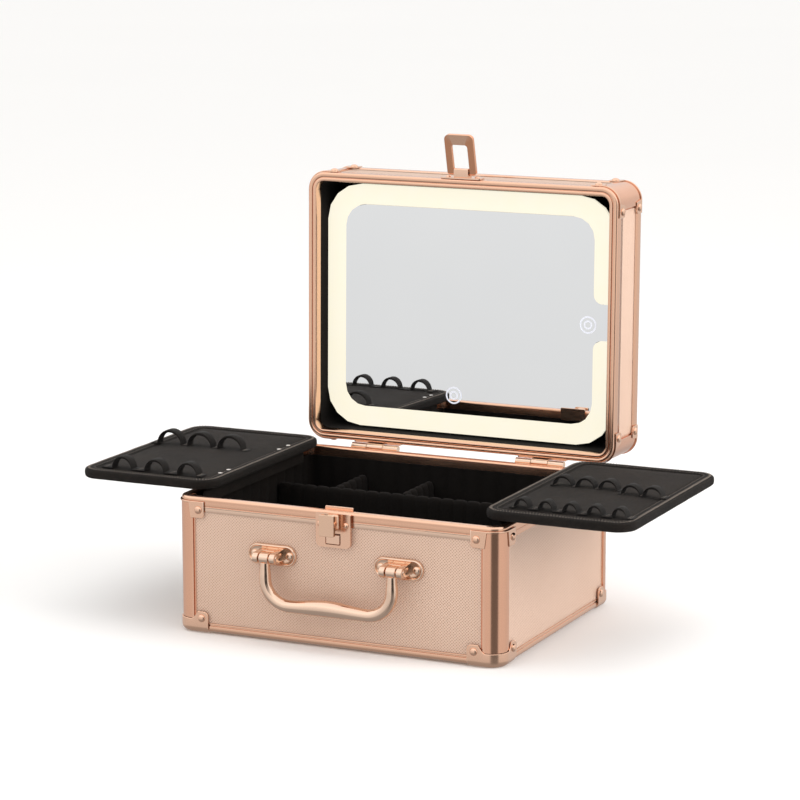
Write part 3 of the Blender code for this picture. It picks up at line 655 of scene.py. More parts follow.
def make_base_corners():
    half = BASE_RADIUS * pi / 4
    marks, reach = post_marks(BASE_RADIUS, 0.018)
    post = post_profile(0.0125, TOP - 0.0043, BASE_RADIUS, reach)

    tab_reach = half + 0.027 - BASE_RADIUS
    tab, tab_marks = lobe_profile(
        tab_reach, half - 0.0004, (-0.0050, -0.0034), -0.0178, -0.0034, TOP, corner=0.0030
    )

    guard_reach = half + 0.030 - BASE_RADIUS

    def guard(along):
        far = abs(along)
        high = 0.0122
        if far > half:
            inner = (far - half) / 0.006
            outer = ease((guard_reach - far) / 0.0045)
            rise = min(1.0, inner) ** 1.5
            high = 0.0122 + (0.0190 - 0.0122) * rise * (0.45 + 0.55 * outer)
        end = 0.0012 * (1 - ease((guard_reach - far) / 0.004)) if far > half else 0
        return [
            (0.0010, high), (0.0013, high - 0.0004), (0.0013, 0.0056), (0.0011, 0.0040),
            (0.0006, 0.0028 + end), (-0.0004, 0.0014 + end), (-0.0018, 0.0005 + end),
            (-0.0032, 0.0001 + end), (-0.0125, 0.0001 + end), (-0.0125, 0.0011 + end),
            (-0.0034, 0.0011 + end), (-0.0010, 0.0024 + end), (0.0004, 0.0056), (0.0004, high),
        ]

    guard_marks = [half + 0.0015 * k for k in range(1, 5)]
    guard_marks += [guard_reach - 0.0045 * (1 - cos(pi / 2 * k / 6)) for k in range(7)]
    for place_name, sign in CORNERS.items():
        bm = add_wrap(bmesh.new(), sign, BASE_RADIUS, marks, post)
        piece(
            "post_" + place_name, bm, POST_METAL, "base",
            ["corner_post_" + place_name], bevel=0.0002,
        )
        bm = add_wrap(
            bmesh.new(), sign, BASE_RADIUS, corner_marks(BASE_RADIUS, tab_reach, tab_marks), tab
        )
        add_corner_rivets(bm, sign, BASE_RADIUS, tab_reach - 0.0052, TOP - 0.0107)
        piece(
            "bracket_" + place_name, bm, PALE_SHEET, "base",
            ["corner_bracket_" + place_name], bevel=0.00015,
        )
        bm = add_wrap(
            bmesh.new(), sign, BASE_RADIUS, corner_marks(BASE_RADIUS, guard_reach, guard_marks), guard
        )
        add_corner_rivets(bm, sign, BASE_RADIUS, guard_reach - 0.0062, 0.0132)
        piece(
            "guard_" + place_name, bm, PALE_SHEET, "base",
            ["corner_guard_" + place_name], bevel=0.00015,
        )


# ---- base: inside ----------------------------------------------------------
def resample(outline, pitch):
    """Points evenly spaced round a closed outline, with the outward direction at each."""
    points = [Vector(point) for point in outline]
    lengths = [(points[(i + 1) % len(points)] - point).length for i, point in enumerate(points)]
    total = sum(lengths)
    count = int(round(total / pitch))
    made, reached, i = [], 0.0, 0
    for k in range(count):
        want = total * k / count
        while reached + lengths[i] < want:
            reached += lengths[i]
            i += 1
        share = (want - reached) / lengths[i]
        here, after = points[i], points[(i + 1) % len(points)]
        along = (after - here).normalized()
        made.append((here.lerp(after, share), Vector((along.y, -along.x)), want))
    return made, total


def quilted_ring(outline, pitch, depth, cells):
    """An outline whose skin swells into sewn channels; depth is how far the seams sink."""
    samples, total = resample(outline, pitch / cells)
    whole = total / max(1, round(total / pitch))
    ring = []
    for point, out, reached in samples:
        sink = depth * (1 - abs(sin(pi * reached / whole)) ** 0.35)
        ring.append((point.x + out.x * sink, point.y + out.y * sink))
    return ring


def make_base_inside():
    inner = case_outline(0.0082, BASE_RADIUS)
    outer = case_outline(0.0046, BASE_RADIUS)
    pitch = 0.0165
    swollen = quilted_ring(inner, pitch, 0.0012, 8)
    plain = [(p.x, p.y) for p, _, _ in resample(inner, pitch / 8)[0]]
    behind = match_count(outer, len(swollen))
    high, floor = TOP - 0.0091, 0.0088
    loops = [
        place(behind, 0.0058, "Z"), place(behind, high, "Z"),
        place(plain, high, "Z"), place(swollen, high - 0.0015, "Z"),
        place(swollen, floor + 0.003, "Z"), place(plain, floor, "Z"),
    ]
    bm = add_loops(bmesh.new(), loops)
    liner = piece("base_lining", bm, LINING, "base", ["base_liner"], bevel=0, sharp=50)

    for name, low, high_corner in divider_boxes():
        bm = quilted_wall(low, high_corner)
        wall = piece(name + "_padding", bm, LINING, "base", [name], bevel=0, sharp=60)


def match_count(outline, count):
    """The same outline sampled to an exact number of points."""
    total = resample(outline, 0.01)[1]
    return [(p.x, p.y) for p, _, _ in resample(outline, total / count)[0]]


def divider_boxes():
    return [(name, *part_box(name)) for name in ("divider_cross", "divider_left", "divider_right")]


def quilted_wall(low, high):
    """A padded partition: foam ribs side by side along its length, rounded on top."""
    size = high - low
    lengthwise = "x" if size.x > size.y else "y"
    length, thick = (size.x, size.y) if lengthwise == "x" else (size.y, size.x)
    ribs = max(1, round(length / 0.0125))
    per_rib = 8
    stations = [length * (k / (ribs * per_rib) - 0.5) for k in range(ribs * per_rib + 1)]

    def half_at(s):
        swell = abs(sin(pi * ribs * (s / length + 0.5)))
        return thick / 2 * (0.80 + 0.20 * swell ** 0.4)

    def rise_at(s):
        swell = abs(sin(pi * ribs * (s / length + 0.5)))
        return -0.0012 * (1 - swell ** 0.4)

    levels = [(0.0, 1.0), (0.90, 1.0), (0.955, 0.93), (0.985, 0.72), (1.0, 0.35)]
    middle = (low + high) / 2
    loops = []
    for share, width in levels:
        ring = [(s, half_at(s) * width) for s in stations] + [
            (s, -half_at(s) * width) for s in reversed(stations)
        ]
        loop = []
        for s, t in ring:
            z = low.z + (size.z + rise_at(s)) * share
            x, y = (middle.x + s, middle.y + t) if lengthwise == "x" else (middle.x + t, middle.y + s)
            loop.append(Vector((x, y, z)))
        loops.append(loop)
    return strip_capped(loops)


def strip_capped(loops):
    """A loft whose ends are closed with strips across, so that a ribbed cap stays clean."""
    bm = bmesh.new()
    rows = [[bm.verts.new(point) for point in loop] for loop in loops]
    count = len(rows[0])
    for low, high in zip(rows, rows[1:]):
        for i in range(count):
            k = (i + 1) % count
            bm.faces.new((low[i], low[k], high[k], high[i]))
    for row in (rows[0], rows[-1]):
        for i in range(count // 2 - 1):
            bm.faces.new((row[i], row[i + 1], row[count - 2 - i], row[count - 1 - i]))
    return bm


# ---- latch -----------------------------------------------------------------
def make_latch():
    low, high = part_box("latch_plate")
    front, back = low.y, high.y
    half, top = high.x, high.z
    tab_low, tab_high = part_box("latch_release_tab")
    groove = 0.0007
    outer = rounded_polygon(
        [(half, top, 0.0012), (-half, top, 0.0012), (-half, low.z, 0.0045), (half, low.z, 0.0045)]
    )
    window = rounded_polygon(
        [
            (tab_high.x + groove, tab_high.z + 0.0012, 0.0004),
            (tab_low.x - groove, tab_high.z + 0.0012, 0.0004),
            (tab_low.x - groove, tab_low.z - groove, 0.0009),
            (tab_high.x + groove, tab_low.z - groove, 0.0009),
        ]
    )
    bm = bmesh.new()
    add_plate(bm, [outer, window], front, front + 0.0022, "Y")
    # the backing ends above the tab, which needs the room behind it when pressed in
    sill, crest = tab_high.z + 0.0016, (top + low.z) / 2 + 0.013
    backing = rectangle(0.030, crest - sill, 0.0036, (0, (crest + sill) / 2))
    add_plate(bm, [backing], front + 0.0023, back, "Y")
    block_low, block_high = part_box("latch_block")
    for side in (-1, 1):
        add_rivet(
            bm, (side * (half + block_high.x) / 2 + side * 0.0004, front, top - 0.0095),
            (0, -1, 0), 0.0026, 0.0017,
        )
    piece("latch_body", bm, PALE_SHEET, "base", ["latch_plate"], bevel=0.0005)

    # front plate of the catch, then a narrower scooped neck back to the body
    bm = bmesh.new()
    reach_out = block_low.y
    face_z = (block_high.z + block_low.z) / 2
    face = rectangle(2 * block_high.x, block_high.z - block_low.z, 0.0012, (0, face_z))
    add_plate(bm, [face], reach_out, reach_out + 0.0034, "Y")
    stations = 14
    loops = []
    for k in range(stations + 1):
        t = k / stations
        y = reach_out + 0.0035 + (block_high.y - reach_out - 0.0035) * t
        scoop = sin(pi * min(1.0, 0.12 + 0.88 * t)) ** 0.8
        wide = block_high.x - 0.0010 - 0.0024 * scoop
        foot = block_low.z + 0.0004 + 0.0030 * (1 - cos(pi * t)) / 2 * (0.4 + 0.6 * t)
        crown = block_high.z - 0.0004 - 0.0012 * t
        loops.append(place(rectangle(2 * wide, crown - foot, 0.0022, (0, (crown + foot) / 2), 4), y, "Y"))
    add_loops(bm, loops)
    piece("latch_catch", bm, POLISHED, "base", ["latch_block"], bevel=0.0004, sharp=50)

    tab_z = (tab_high.z + tab_low.z) / 2
    tab = rectangle(tab_high.x - tab_low.x, tab_high.z - tab_low.z, 0.0008, (0, tab_z))
    bm = add_plate(bmesh.new(), [tab], tab_low.y, tab_high.y, "Y")
    piece(
        "latch_tab", bm, PALE_SHEET, "latch_button",
        ["latch_release_tab"], bevel=0.0004,
    )

    keep_low, keep_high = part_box("latch_keeper_plate")
    outline = rounded_polygon(
        [
            (keep_high.x, keep_high.z, 0.0012), (keep_low.x, keep_high.z, 0.0012),
            (keep_low.x, keep_low.z, 0.0004), (keep_high.x, keep_low.z, 0.0004),
        ]
    )
    bm = add_plate(bmesh.new(), [outline], keep_low.y, keep_high.y, "Y")
    piece(
        "latch_keeper", bm, PALE_SHEET, "base", ["latch_keeper_plate"], bevel=0.0004
    )


# ---- carrying handle -------------------------------------------------------
def make_handle_brackets():
    for name in ("left", "right"):
        low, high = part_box("handle_bracket_" + name)
        pin_low, pin_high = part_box("handle_pin_" + name)
        x, z = (low.x + high.x) / 2, (pin_low.z + pin_high.z) / 2
        pin_y = (pin_low.y + pin_high.y) / 2
        back, wide, tall = high.y, high.x - low.x, high.z - low.z
        bm = bmesh.new()
        # stadium plate: raised rounded rim round a dished floor
        section = [
            (0.0, 0.0), (0.0, 0.0014), (0.0003, 0.0023), (0.0009, 0.0029), (0.0016, 0.0029),
            (0.0021, 0.0024), (0.0025, 0.0018), (0.0036, 0.0014), (0.0060, 0.0013),
        ]
        loops = []
        for inset, rise in section:
            outline = rectangle(wide - 2 * inset, tall - 2 * inset, tall / 2 - inset - 0.0001, (x, z), 12)
            loops.append(place(outline, back - rise, "Y"))
        add_loops(bm, loops)
        for side in (-1, 1):
            screw = (x + side * 0.0163, back - 0.0013, z)
            add_rivet(bm, screw, (0, -1, 0), 0.0034, 0.0016)
            inner, outer = x + side * 0.0051, x + side * 0.0106
            radius = 0.0046
            outline = [(back - 0.0010, z - radius + 0.0004)]
            outline += [
                (pin_y - radius * sin(t), z - radius * cos(t)) for t in np.linspace(0, pi, 15)
            ]
            outline += [(back - 0.0010, z + radius + 0.0010)]
            lug = bmesh.new()
            middle, half = (inner + outer) / 2, abs(outer - inner) / 2
            stations = [
                (-1.0, 0.0009), (-0.86, 0.0002), (-0.6, 0.0), (0.6, 0.0), (0.86, 0.0002), (1.0, 0.0009),
            ]
            rings = []
            for share, shrink in stations:
                ring = []
                for y, level in outline:
                    pull = 1 - shrink / radius
                    depth = pin_y + (y - pin_y) * (pull if y < pin_y else 1)
                    ring.append(Vector((middle + half * share, depth, z + (level - z) * pull)))
                rings.append(ring)
            add_loops(lug, rings)
            merge(bm, lug)
        # bridge plate over the eye, behind the bail
        bridge = rectangle(0.0104, 0.0022, 0.0005, (x, z + 0.0040))
        add_plate(bm, [bridge], pin_y + 0.0060, back - 0.0010, "Y")
        piece(
            "handle_mount_" + name, bm, HANDLE_METAL, "base",
            ["handle_bracket_" + name], bevel=0.0003, sharp=40,
        )
        bm = bmesh.new()
        reach = 0.0106
        profile = [
            (0.0016, -reach), (0.0024, -reach - 0.0001), (0.0021, -reach - 0.0006), (0.0, -reach - 0.0008),
        ]
        rod = [(r, h) for r, h in reversed(profile)] + [(r, -h) for r, h in profile]
        add_lathe(bm, rod, (x, pin_y, z), (1, 0, 0), 20)
        piece(
            "handle_pivot_" + name, bm, HANDLE_METAL, "base",
            ["handle_pin_" + name], bevel=0,
        )


def make_handle():
    pivot = Vector(JOINTS["handle_hinge"]["pos_m"])
    eye_x, y, z0 = 0.0585, pivot.y, pivot.z
    grip_z = z0 - 0.039
    corner = 0.022
    half = []
    for k in range(5):
        half.append((eye_x, z0 - 0.0035 - 0.0012 * k, 0.0041 + 0.0001 * k))
    half.append((eye_x, z0 - 0.0100, 0.0046))
    half.append((eye_x, z0 - 0.0135, 0.0051))
    steps = 14
    turn_x = eye_x - corner
    for k in range(steps + 1):
        a = pi / 2 * k / steps
        half.append(
            (turn_x + corner * cos(a), grip_z + corner - corner * sin(a), 0.0052)
        )
    for k in range(1, 12):
        x = turn_x * (1 - k / 12)
        rise = 0.5 + 0.5 * cos(pi * x / turn_x)
        half.append((x, grip_z + 0.0016 * rise, 0.0052 + 0.0016 * rise))
    path = [(-x, z, r) for x, z, r in half] + [(0, grip_z + 0.0016, 0.0068)] + half[::-1]
    bm = add_tube(bmesh.new(), [((x, y, z), r) for x, z, r in path], steps=28)
    for side in (-1, 1):
        # barrel eye round the pin, a little wider than the bar
        profile = [
            (0.0019, -0.0043), (0.0040, -0.0043), (0.0046, -0.0038), (0.0047, -0.0020),
            (0.0047, 0.0020), (0.0046, 0.0038), (0.0040, 0.0043), (0.0019, 0.0043),
        ]
        add_lathe(bm, profile, (side * eye_x, y, z0), (1, 0, 0), 24)
    piece(
        "handle_bail", bm, HANDLE_METAL, "handle",
        ["carry_handle"], bevel=0.0003, sharp=40,
    )


# ---- hinges and the CAD parts that stay ------------------------------------
def add_screw(bm, centre, direction, radius=0.0019):
    """A countersunk screw with a shallow round recess in its head."""
    profile = [(radius, -0.0004), (radius, 0.0001), (radius * 0.8, 0.0005), (radius * 0.45, 0.0007)]
    profile += [(radius * 0.36, 0.0002), (0, 0.0002)]
    return add_lathe(bm, profile, centre, direction, 18)


def make_hinge_screws():
    for name in ("left", "right"):
        low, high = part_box("hinge_base_leaf_" + name)
        x = (low.x + high.x) / 2
        face = HALF_D + 0.0015
        bm = bmesh.new()
        for offset in (-0.0165, -0.0055, 0.0055, 0.0165):
            add_screw(bm, (x + offset, face, PIVOT.z - 0.0076), (0, 1, 0))
        piece("hinge_screws_base_" + name, bm, POLISHED, "base", bevel=0)
        bm = bmesh.new()
        for offset in (-0.0165, -0.0055, 0.0055, 0.0165):
            add_screw(bm, (x + offset, face, PIVOT.z + 0.0076), (0, 1, 0))
        piece(
            "hinge_screws_lid_" + name, bm, POLISHED, "lid",
            turn=LID_TURN, bevel=0,
        )


def dress_cad_nodes():
    """The CAD parts whose shape is already right get their material and soft edges."""
    finishes = {
        PANEL: ["base_front_panel", "base_back_panel", "base_left_panel", "base_right_panel",
                "lid_top_panel", "lid_side_band"],
        FIBRE: ["base_bottom_panel"],
        MIRROR: ["mirror_glass"],
        GLOW: ["led_diffuser"],
        BLACK: ["led_backing_board", "control_and_battery_pack"],
        POLISHED: ["hinge_base_leaf_left", "hinge_base_leaf_right",
                   "hinge_lid_leaf_left", "hinge_lid_leaf_right"],
    }
    for material, names in finishes.items():
        for name in names:
            node = frame["nodes"][name]
            node.data.materials.clear()
            node.data.materials.append(material)
            rounding = node.modifiers.new("rounding", "BEVEL")
            rounding.width = 0.0002
            rounding.segments = 2
            rounding.limit_method = "ANGLE"
            rounding.angle_limit = radians(40)
            rounding.harden_normals = True


# ---- lid, drawn shut -------------------------------------------------------
def make_lid_frames():
    rim = [
        (0.0010, 0.0145), (0.0004, 0.0144), (0.0003, 0.0141), (0.0003, 0.0101),
        (0.0001, 0.0098), (0.0000, 0.0094), (0.0000, 0.0060), (0.0002, 0.0040),
        (0.0000, 0.0022), (0.0002, 0.0010), (0.0008, 0.0002), (0.0014, 0.0000),
        (0.0035, 0.0000), (0.0040, 0.0003), (0.0042, 0.0009), (0.0046, 0.0009),
        (0.0048, 0.0003), (0.0053, 0.0000), (0.0070, 0.0000), (0.0077, 0.0003),
        (0.0080, 0.0010), (0.0080, 0.0095), (0.0010, 0.0095),
    ]
    bm = frame_ring([(inset, LID_LOW + h) for inset, h in rim], LID_RADIUS)
    piece("lid_rim", bm, SATIN, "lid", ["lid_rim_frame"], LID_TURN, bevel=0)
    back = [
        (0.0010, 0.0465), (0.0004, 0.0466), (0.0003, 0.0469), (0.0003, 0.0500),
        (0.0001, 0.0503), (0.0000, 0.0507), (0.0000, 0.0570), (0.0003, 0.0584),
        (0.0009, 0.0593), (0.0018, 0.0598), (0.0030, 0.0600), (0.0108, 0.0600),
        (0.0114, 0.0597), (0.0115, 0.0590), (0.0032, 0.0590), (0.0016, 0.0583), (0.0010, 0.0566),
    ]
    bm = frame_ring([(inset, LID_LOW + h) for inset, h in back], LID_RADIUS)
    piece("lid_back_rail", bm, SATIN, "lid", ["lid_top_frame"], LID_TURN, bevel=0)


def make_lid_corners():
    half = LID_RADIUS * pi / 4
    marks, reach = post_marks(LID_RADIUS, 0.0215)
    post = post_profile(LID_LOW + 0.0046, LID_LOW + 0.0562, LID_RADIUS, reach)
    tab_reach = half + 0.027 - LID_RADIUS
    tabs = [
        lobe_profile(tab_reach, half - 0.0004, (0.0034, 0.0050), 0.0034, 0.0156, LID_LOW),
        lobe_profile(tab_reach, half - 0.0004, (0.0550, 0.0568), 0.0446, 0.0568, LID_LOW),
    ]
    for place_name, sign in CORNERS.items():
        bm = add_wrap(bmesh.new(), sign, LID_RADIUS, marks, post)
        piece(
            "lid_post_" + place_name, bm, POST_METAL, "lid",
            ["lid_corner_" + place_name], LID_TURN, bevel=0.0002,
        )
        bm = bmesh.new()
        for (profile, tab_marks), rivet in zip(tabs, (0.0098, 0.0505)):
            add_wrap(bm, sign, LID_RADIUS, corner_marks(LID_RADIUS, tab_reach, tab_marks), profile)
            add_corner_rivets(bm, sign, LID_RADIUS, tab_reach - 0.0052, LID_LOW + rivet)
        piece(
            "lid_bracket_" + place_name, bm, PALE_SHEET, "lid",
            (), LID_TURN, bevel=0.00015,
        )


def make_lid_lining():
    inner = case_outline(0.0082, LID_RADIUS)
    outer = case_outline(0.0046, LID_RADIUS)
    spacing = 0.003
    plain = [(p.x, p.y) for p, _, _ in resample(inner, spacing)[0]]
    behind = match_count(outer, len(plain))
    soft = []
    for p, out, reached in resample(inner, spacing)[0]:
        wave = noise.noise(Vector((reached * 40, 3.1, 0))) * 0.0004
        soft.append((p.x + out.x * wave, p.y + out.y * wave))
    high, low = LID_LOW + 0.0550, LID_LOW + 0.0099
    loops = [
        place(behind, high, "Z"), place(behind, low, "Z"), place(plain, low, "Z"),
        place(soft, low + 0.002, "Z"), place(soft, LID_LOW + 0.050, "Z"), place(plain, LID_LOW + 0.052, "Z"),
    ]
    bm = add_loops(bmesh.new(), loops)
    piece("lid_lining", bm, LINING, "lid", ["lid_liner"], LID_TURN, bevel=0, sharp=50)


def make_touch_marks():
    """Two printed touch rings with a faint painted glow: one in the break of the light band, one low on the
    glass.
    """
    level = LID_LOW + 0.020
    bm = bmesh.new()
    for x, y in TOUCH_MARKS:
        for radius, width in ((0.0071, 0.0007), (0.0033, 0.0007)):
            profile = [
                (radius - width, 0.0), (radius - width, 0.00006),
                (radius + width, 0.00006), (radius + width, 0.0),
            ]
            made = bmesh.new()
            rows = [
                [Vector((x + r * cos(t), y + r * sin(t), level - h)) for t in np.linspace(0, 2 * pi, 49)[:-1]]
                for r, h in profile
            ]
            add_loops(made, rows, closed=True)
            merge(bm, made)
    piece("touch_rings", bm, TOUCH_INK_AND_GLOW, "lid", (), LID_TURN, bevel=0)


def make_hasp():
    pivot_y, pivot_z = -HALF_D - 0.0058, LID_LOW + 0.0060
    front = -HALF_D - 0.0003
    bm = bmesh.new()
    plate = rounded_polygon(
        [
            (0.0195, pivot_z + 0.0070, 0.0035), (-0.0195, pivot_z + 0.0070, 0.0035),
            (-0.0195, pivot_z - 0.0054, 0.0020), (0.0195, pivot_z - 0.0054, 0.0020),
        ]
    )
    add_plate(bm, [plate], front - 0.0012, front, "Y")
    for side in (-1, 1):
        add_rivet(bm, (side * 0.0140, front - 0.0012, pivot_z + 0.0014), (0, -1, 0), 0.0024, 0.0012)
    # clip: a strip folded out over the ring's bar and back, open at both ends
    outer = rounded_polygon(
        [
            (front - 0.0008, pivot_z + 0.0046, 0.0006), (front - 0.0008, pivot_z - 0.0034, 0.0006),
            (pivot_y - 0.0037, pivot_z - 0.0037, 0.0012), (pivot_y - 0.0037, pivot_z + 0.0037, 0.0030),
        ]
    )
    bore = circle(0.0027, (pivot_y, pivot_z), 24)
    add_plate(bm, [outer, bore], -0.0069, 0.0069, "X")
    piece("hasp_mount", bm, PALE_SHEET, "lid", ["hasp_plate"], LID_TURN, bevel=0.0004)

    bar = 0.0017
    ring_turn = LID_TURN @ about((0, pivot_y, pivot_z), radians(degrees(LID_OPEN) + HASP_LEAN - 180))
    half_w, top_z, end_z = 0.0138, pivot_z + bar, pivot_z - 0.0355
    outer = rounded_polygon(
        [(half_w, top_z, 0.0022), (-half_w, top_z, 0.0022), (-half_w, end_z, 0.0046), (half_w, end_z, 0.0046)]
    )
    window = rounded_polygon(
        [
            (0.0077, pivot_z - bar, 0.0005), (-0.0077, pivot_z - bar, 0.0005),
            (-0.0077, pivot_z - 0.0262, 0.0026), (0.0077, pivot_z - 0.0262, 0.0026),
        ]
    )
    bm = add_plate(bmesh.new(), [outer, window], pivot_y - bar, pivot_y + bar, "Y")
    piece("hasp_loop", bm, HASP_METAL, "hasp", ["hasp_ring"], ring_turn, bevel=0.0005)


HASP_LEAN = 14.0
HASP_METAL = metal("hasp_rose_metal", rgb(244, 176, 138), rgb(255, 226, 204), 0.16, EVEN, 0.000006, 0.08)
TOUCH_MARKS = ((0.1163, 0.0027), (-0.0127, 0.0760))
TOUCH_INK_AND_GLOW = plastic("touch_ink_and_glow", rgb(236, 240, 250), rgb(246, 248, 255), 0.4)
# painted glow: the printed rings are given a faint white emission so they stand out
TOUCH_INK_AND_GLOW.node_tree.nodes["Principled BSDF"].inputs["Emission Color"].default_value = rgb(232, 236, 255)
TOUCH_INK_AND_GLOW.node_tree.nodes["Principled BSDF"].inputs["Emission Strength"].default_value = 0.25


# ---- brush boards ----------------------------------------------------------
BORDER = 0.0112


def rumple(point, size):
    """A small steady irregularity, so that cloth isn't perfectly flat."""
    p = Vector(point)
    return (noise.noise(p * 55) * 0.6 + noise.noise(p * 170) * 0.4) * size


def make_board(name):
    low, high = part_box("brush_board_" + name)
    middle = (low + high) / 2
    wide, long = high.x - low.x, high.y - low.y
    body = name + "_board"
    section = [
        (0.0040, low.z), (0.0014, low.z + 0.0003), (0.0004, low.z + 0.0012), (0.0, low.z + 0.0026),
        (0.0, high.z - 0.0027), (0.0003, high.z - 0.0014), (0.0010, high.z - 0.0005),
        (0.0022, high.z), (0.0046, high.z + 0.0003), (0.0074, high.z + 0.0003),
        (0.0092, high.z - 0.0001), (0.0102, high.z - 0.0008),
        (0.0112, high.z - 0.0014), (0.0150, high.z - 0.0015),
    ]
    spacing = 0.0035
    outline = rectangle(wide, long, 0.018, (middle.x, middle.y), 12)
    count = len(resample(outline, spacing)[0])
    loops = []
    for inset, z in section:
        radius = max(0.018 - inset, 0.003)
        shrunk = rectangle(wide - 2 * inset, long - 2 * inset, radius, (middle.x, middle.y), 12)
        ring = match_count(shrunk, count)
        loops.append([Vector((x, y, z + rumple((x, y, z), 0.00022))) for x, y in ring])
    bm = add_loops(bmesh.new(), loops)
    board = piece(
        "board_" + name, bm, BINDING, body, ["brush_board_" + name], bevel=0, sharp=70
    )
    make_board_pad(name, body, low, high)
    make_board_stitches(name, body, low, high)


def make_board_pad(name, body, low, high):
    """The padded middle of a board: a skin sewn down round its edge and puffed up."""
    middle = (low + high) / 2
    half_x, half_y = (high.x - low.x) / 2 - BORDER + 0.0003, (high.y - low.y) / 2 - BORDER + 0.0003
    radius = 0.0072
    cell = 0.0032
    nx, ny = int(round(2 * half_x / cell)), int(round(2 * half_y / cell))
    bm = bmesh.new()
    grid, rim = [], []
    for j in range(ny + 1):
        row = []
        for i in range(nx + 1):
            x, y = half_x * (2 * i / nx - 1), half_y * (2 * j / ny - 1)
            over = Vector((abs(x) - half_x + radius, abs(y) - half_y + radius))
            if over.x > 0 and over.y > 0 and over.length > radius:
                over = over.normalized() * radius
                x = (half_x - radius + over.x) * (1 if x > 0 else -1)
                y = (half_y - radius + over.y) * (1 if y > 0 else -1)
            edge = min(half_x - abs(x), half_y - abs(y))
            z = high.z - 0.0012 + 0.0011 * ease(edge / 0.006)
            z += rumple((x + middle.x, y, 0.3), 0.0005) * min(1.0, edge / 0.010)
            row.append(bm.verts.new((x + middle.x, y + middle.y, z)))
            if i in (0, nx) or j in (0, ny):
                rim.append(len(grid) * (nx + 1) + i)
        grid.append(row)
    for lower, upper in zip(grid, grid[1:]):
        for i in range(nx):
            bm.faces.new((lower[i], lower[i + 1], upper[i + 1], upper[i]))
    bm.normal_update()
    pad = piece("board_pad_" + name, bm, CHARCOAL, None, bevel=0, sharp=80)
    puff(pad, rim, pressure=1.2, cap=0.0010)
    thick = pad.modifiers.new("thickness", "SOLIDIFY")
    thick.thickness = 0.0008
    thick.offset = -1
    smooth = pad.modifiers.new("smooth", "SUBSURF")
    smooth.levels = smooth.render_levels = 1
    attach(pad, body)


def puff(cloth_object, pinned, pressure, cap):
    """Swells a sewn-down skin with a cloth simulation, limits its move, and keeps the result."""
    group = cloth_object.vertex_groups.new(name="sewn")
    group.add(pinned, 1.0, "REPLACE")
    cloth = cloth_object.modifiers.new("cloth", "CLOTH")
    settings = cloth.settings
    settings.quality = 6
    settings.mass = 0.15
    settings.tension_stiffness = settings.compression_stiffness = 12
    settings.shear_stiffness = 6
    settings.bending_stiffness = 0.3
    settings.vertex_group_mass = "sewn"
    settings.use_pressure = True
    settings.uniform_pressure_force = pressure
    settings.effector_weights.gravity = 0
    scene = bpy.context.scene
    start = [vert.co.copy() for vert in cloth_object.data.vertices]
    for number in range(1, 21):
        scene.frame_set(number)
    depsgraph = bpy.context.evaluated_depsgraph_get()
    swollen = cloth_object.evaluated_get(depsgraph).data
    ends = [vert.co.copy() for vert in swollen.vertices]
    cloth_object.modifiers.remove(cloth)
    scene.frame_set(1)
    for vert, old, new in zip(cloth_object.data.vertices, start, ends):
        move = new - old
        if move.length > cap:
            move = move.normalized() * (cap + (1 - 1 / (1 + move.length / cap - 1)) * cap * 0.3)
        vert.co = old + move


def make_board_stitches(name, body, low, high):
    """Whip stitches over the binding near the edge, and a fine row beside the pad."""
    middle = (low + high) / 2
    wide, long = high.x - low.x, high.y - low.y
    bm = bmesh.new()
    for inset, pitch, length, lean, thick, z in (
        (0.0035, 0.0026, 0.0026, 0.75, 0.00080, high.z + 0.00036),
        (0.0088, 0.0030, 0.0017, 0.0, 0.00036, high.z + 0.00016),
    ):
        ring = rectangle(wide - 2 * inset, long - 2 * inset, 0.018 - inset, (middle.x, middle.y), 10)
        for point, out, _ in resample(ring, pitch)[0]:
            along = Vector((-out.y, out.x))
            step = (along * (1 - lean) + out * lean).normalized() * length / 2
            lift = z + rumple((point.x, point.y, high.z), 0.00022)
            add_stadium_bar(
                bm, (point.x - step.x, point.y - step.y, lift), (point.x + step.x, point.y + step.y, lift),
                thick, thick * 0.8,
            )
    piece("board_stitching_" + name, bm, THREAD, body, (), bevel=0, sharp=80)


STRAPS = {
    "left": (
        ("near", 0.1400, 0.2380, [(0.1540 + 0.0320 * k, 0.0190, 0.0105) for k in range(3)]),
        ("far", 0.1540, 0.2500, [(0.1710 + 0.0305 * k, 0.0240, 0.0125) for k in range(3)]),
    ),
    "right": (
        ("near", 0.1440, 0.2520, [(0.1545 + 0.0213 * k, 0.0125, 0.0080) for k in range(5)]),
        ("far", 0.1430, 0.2050, [(0.1535 + 0.0205 * k, 0.0165, 0.0085) for k in range(3)]),
        ("outer", 0.2070, 0.2500, [(0.2185 + 0.0190 * k, 0.0165, 0.0085) for k in range(2)]),
    ),
}


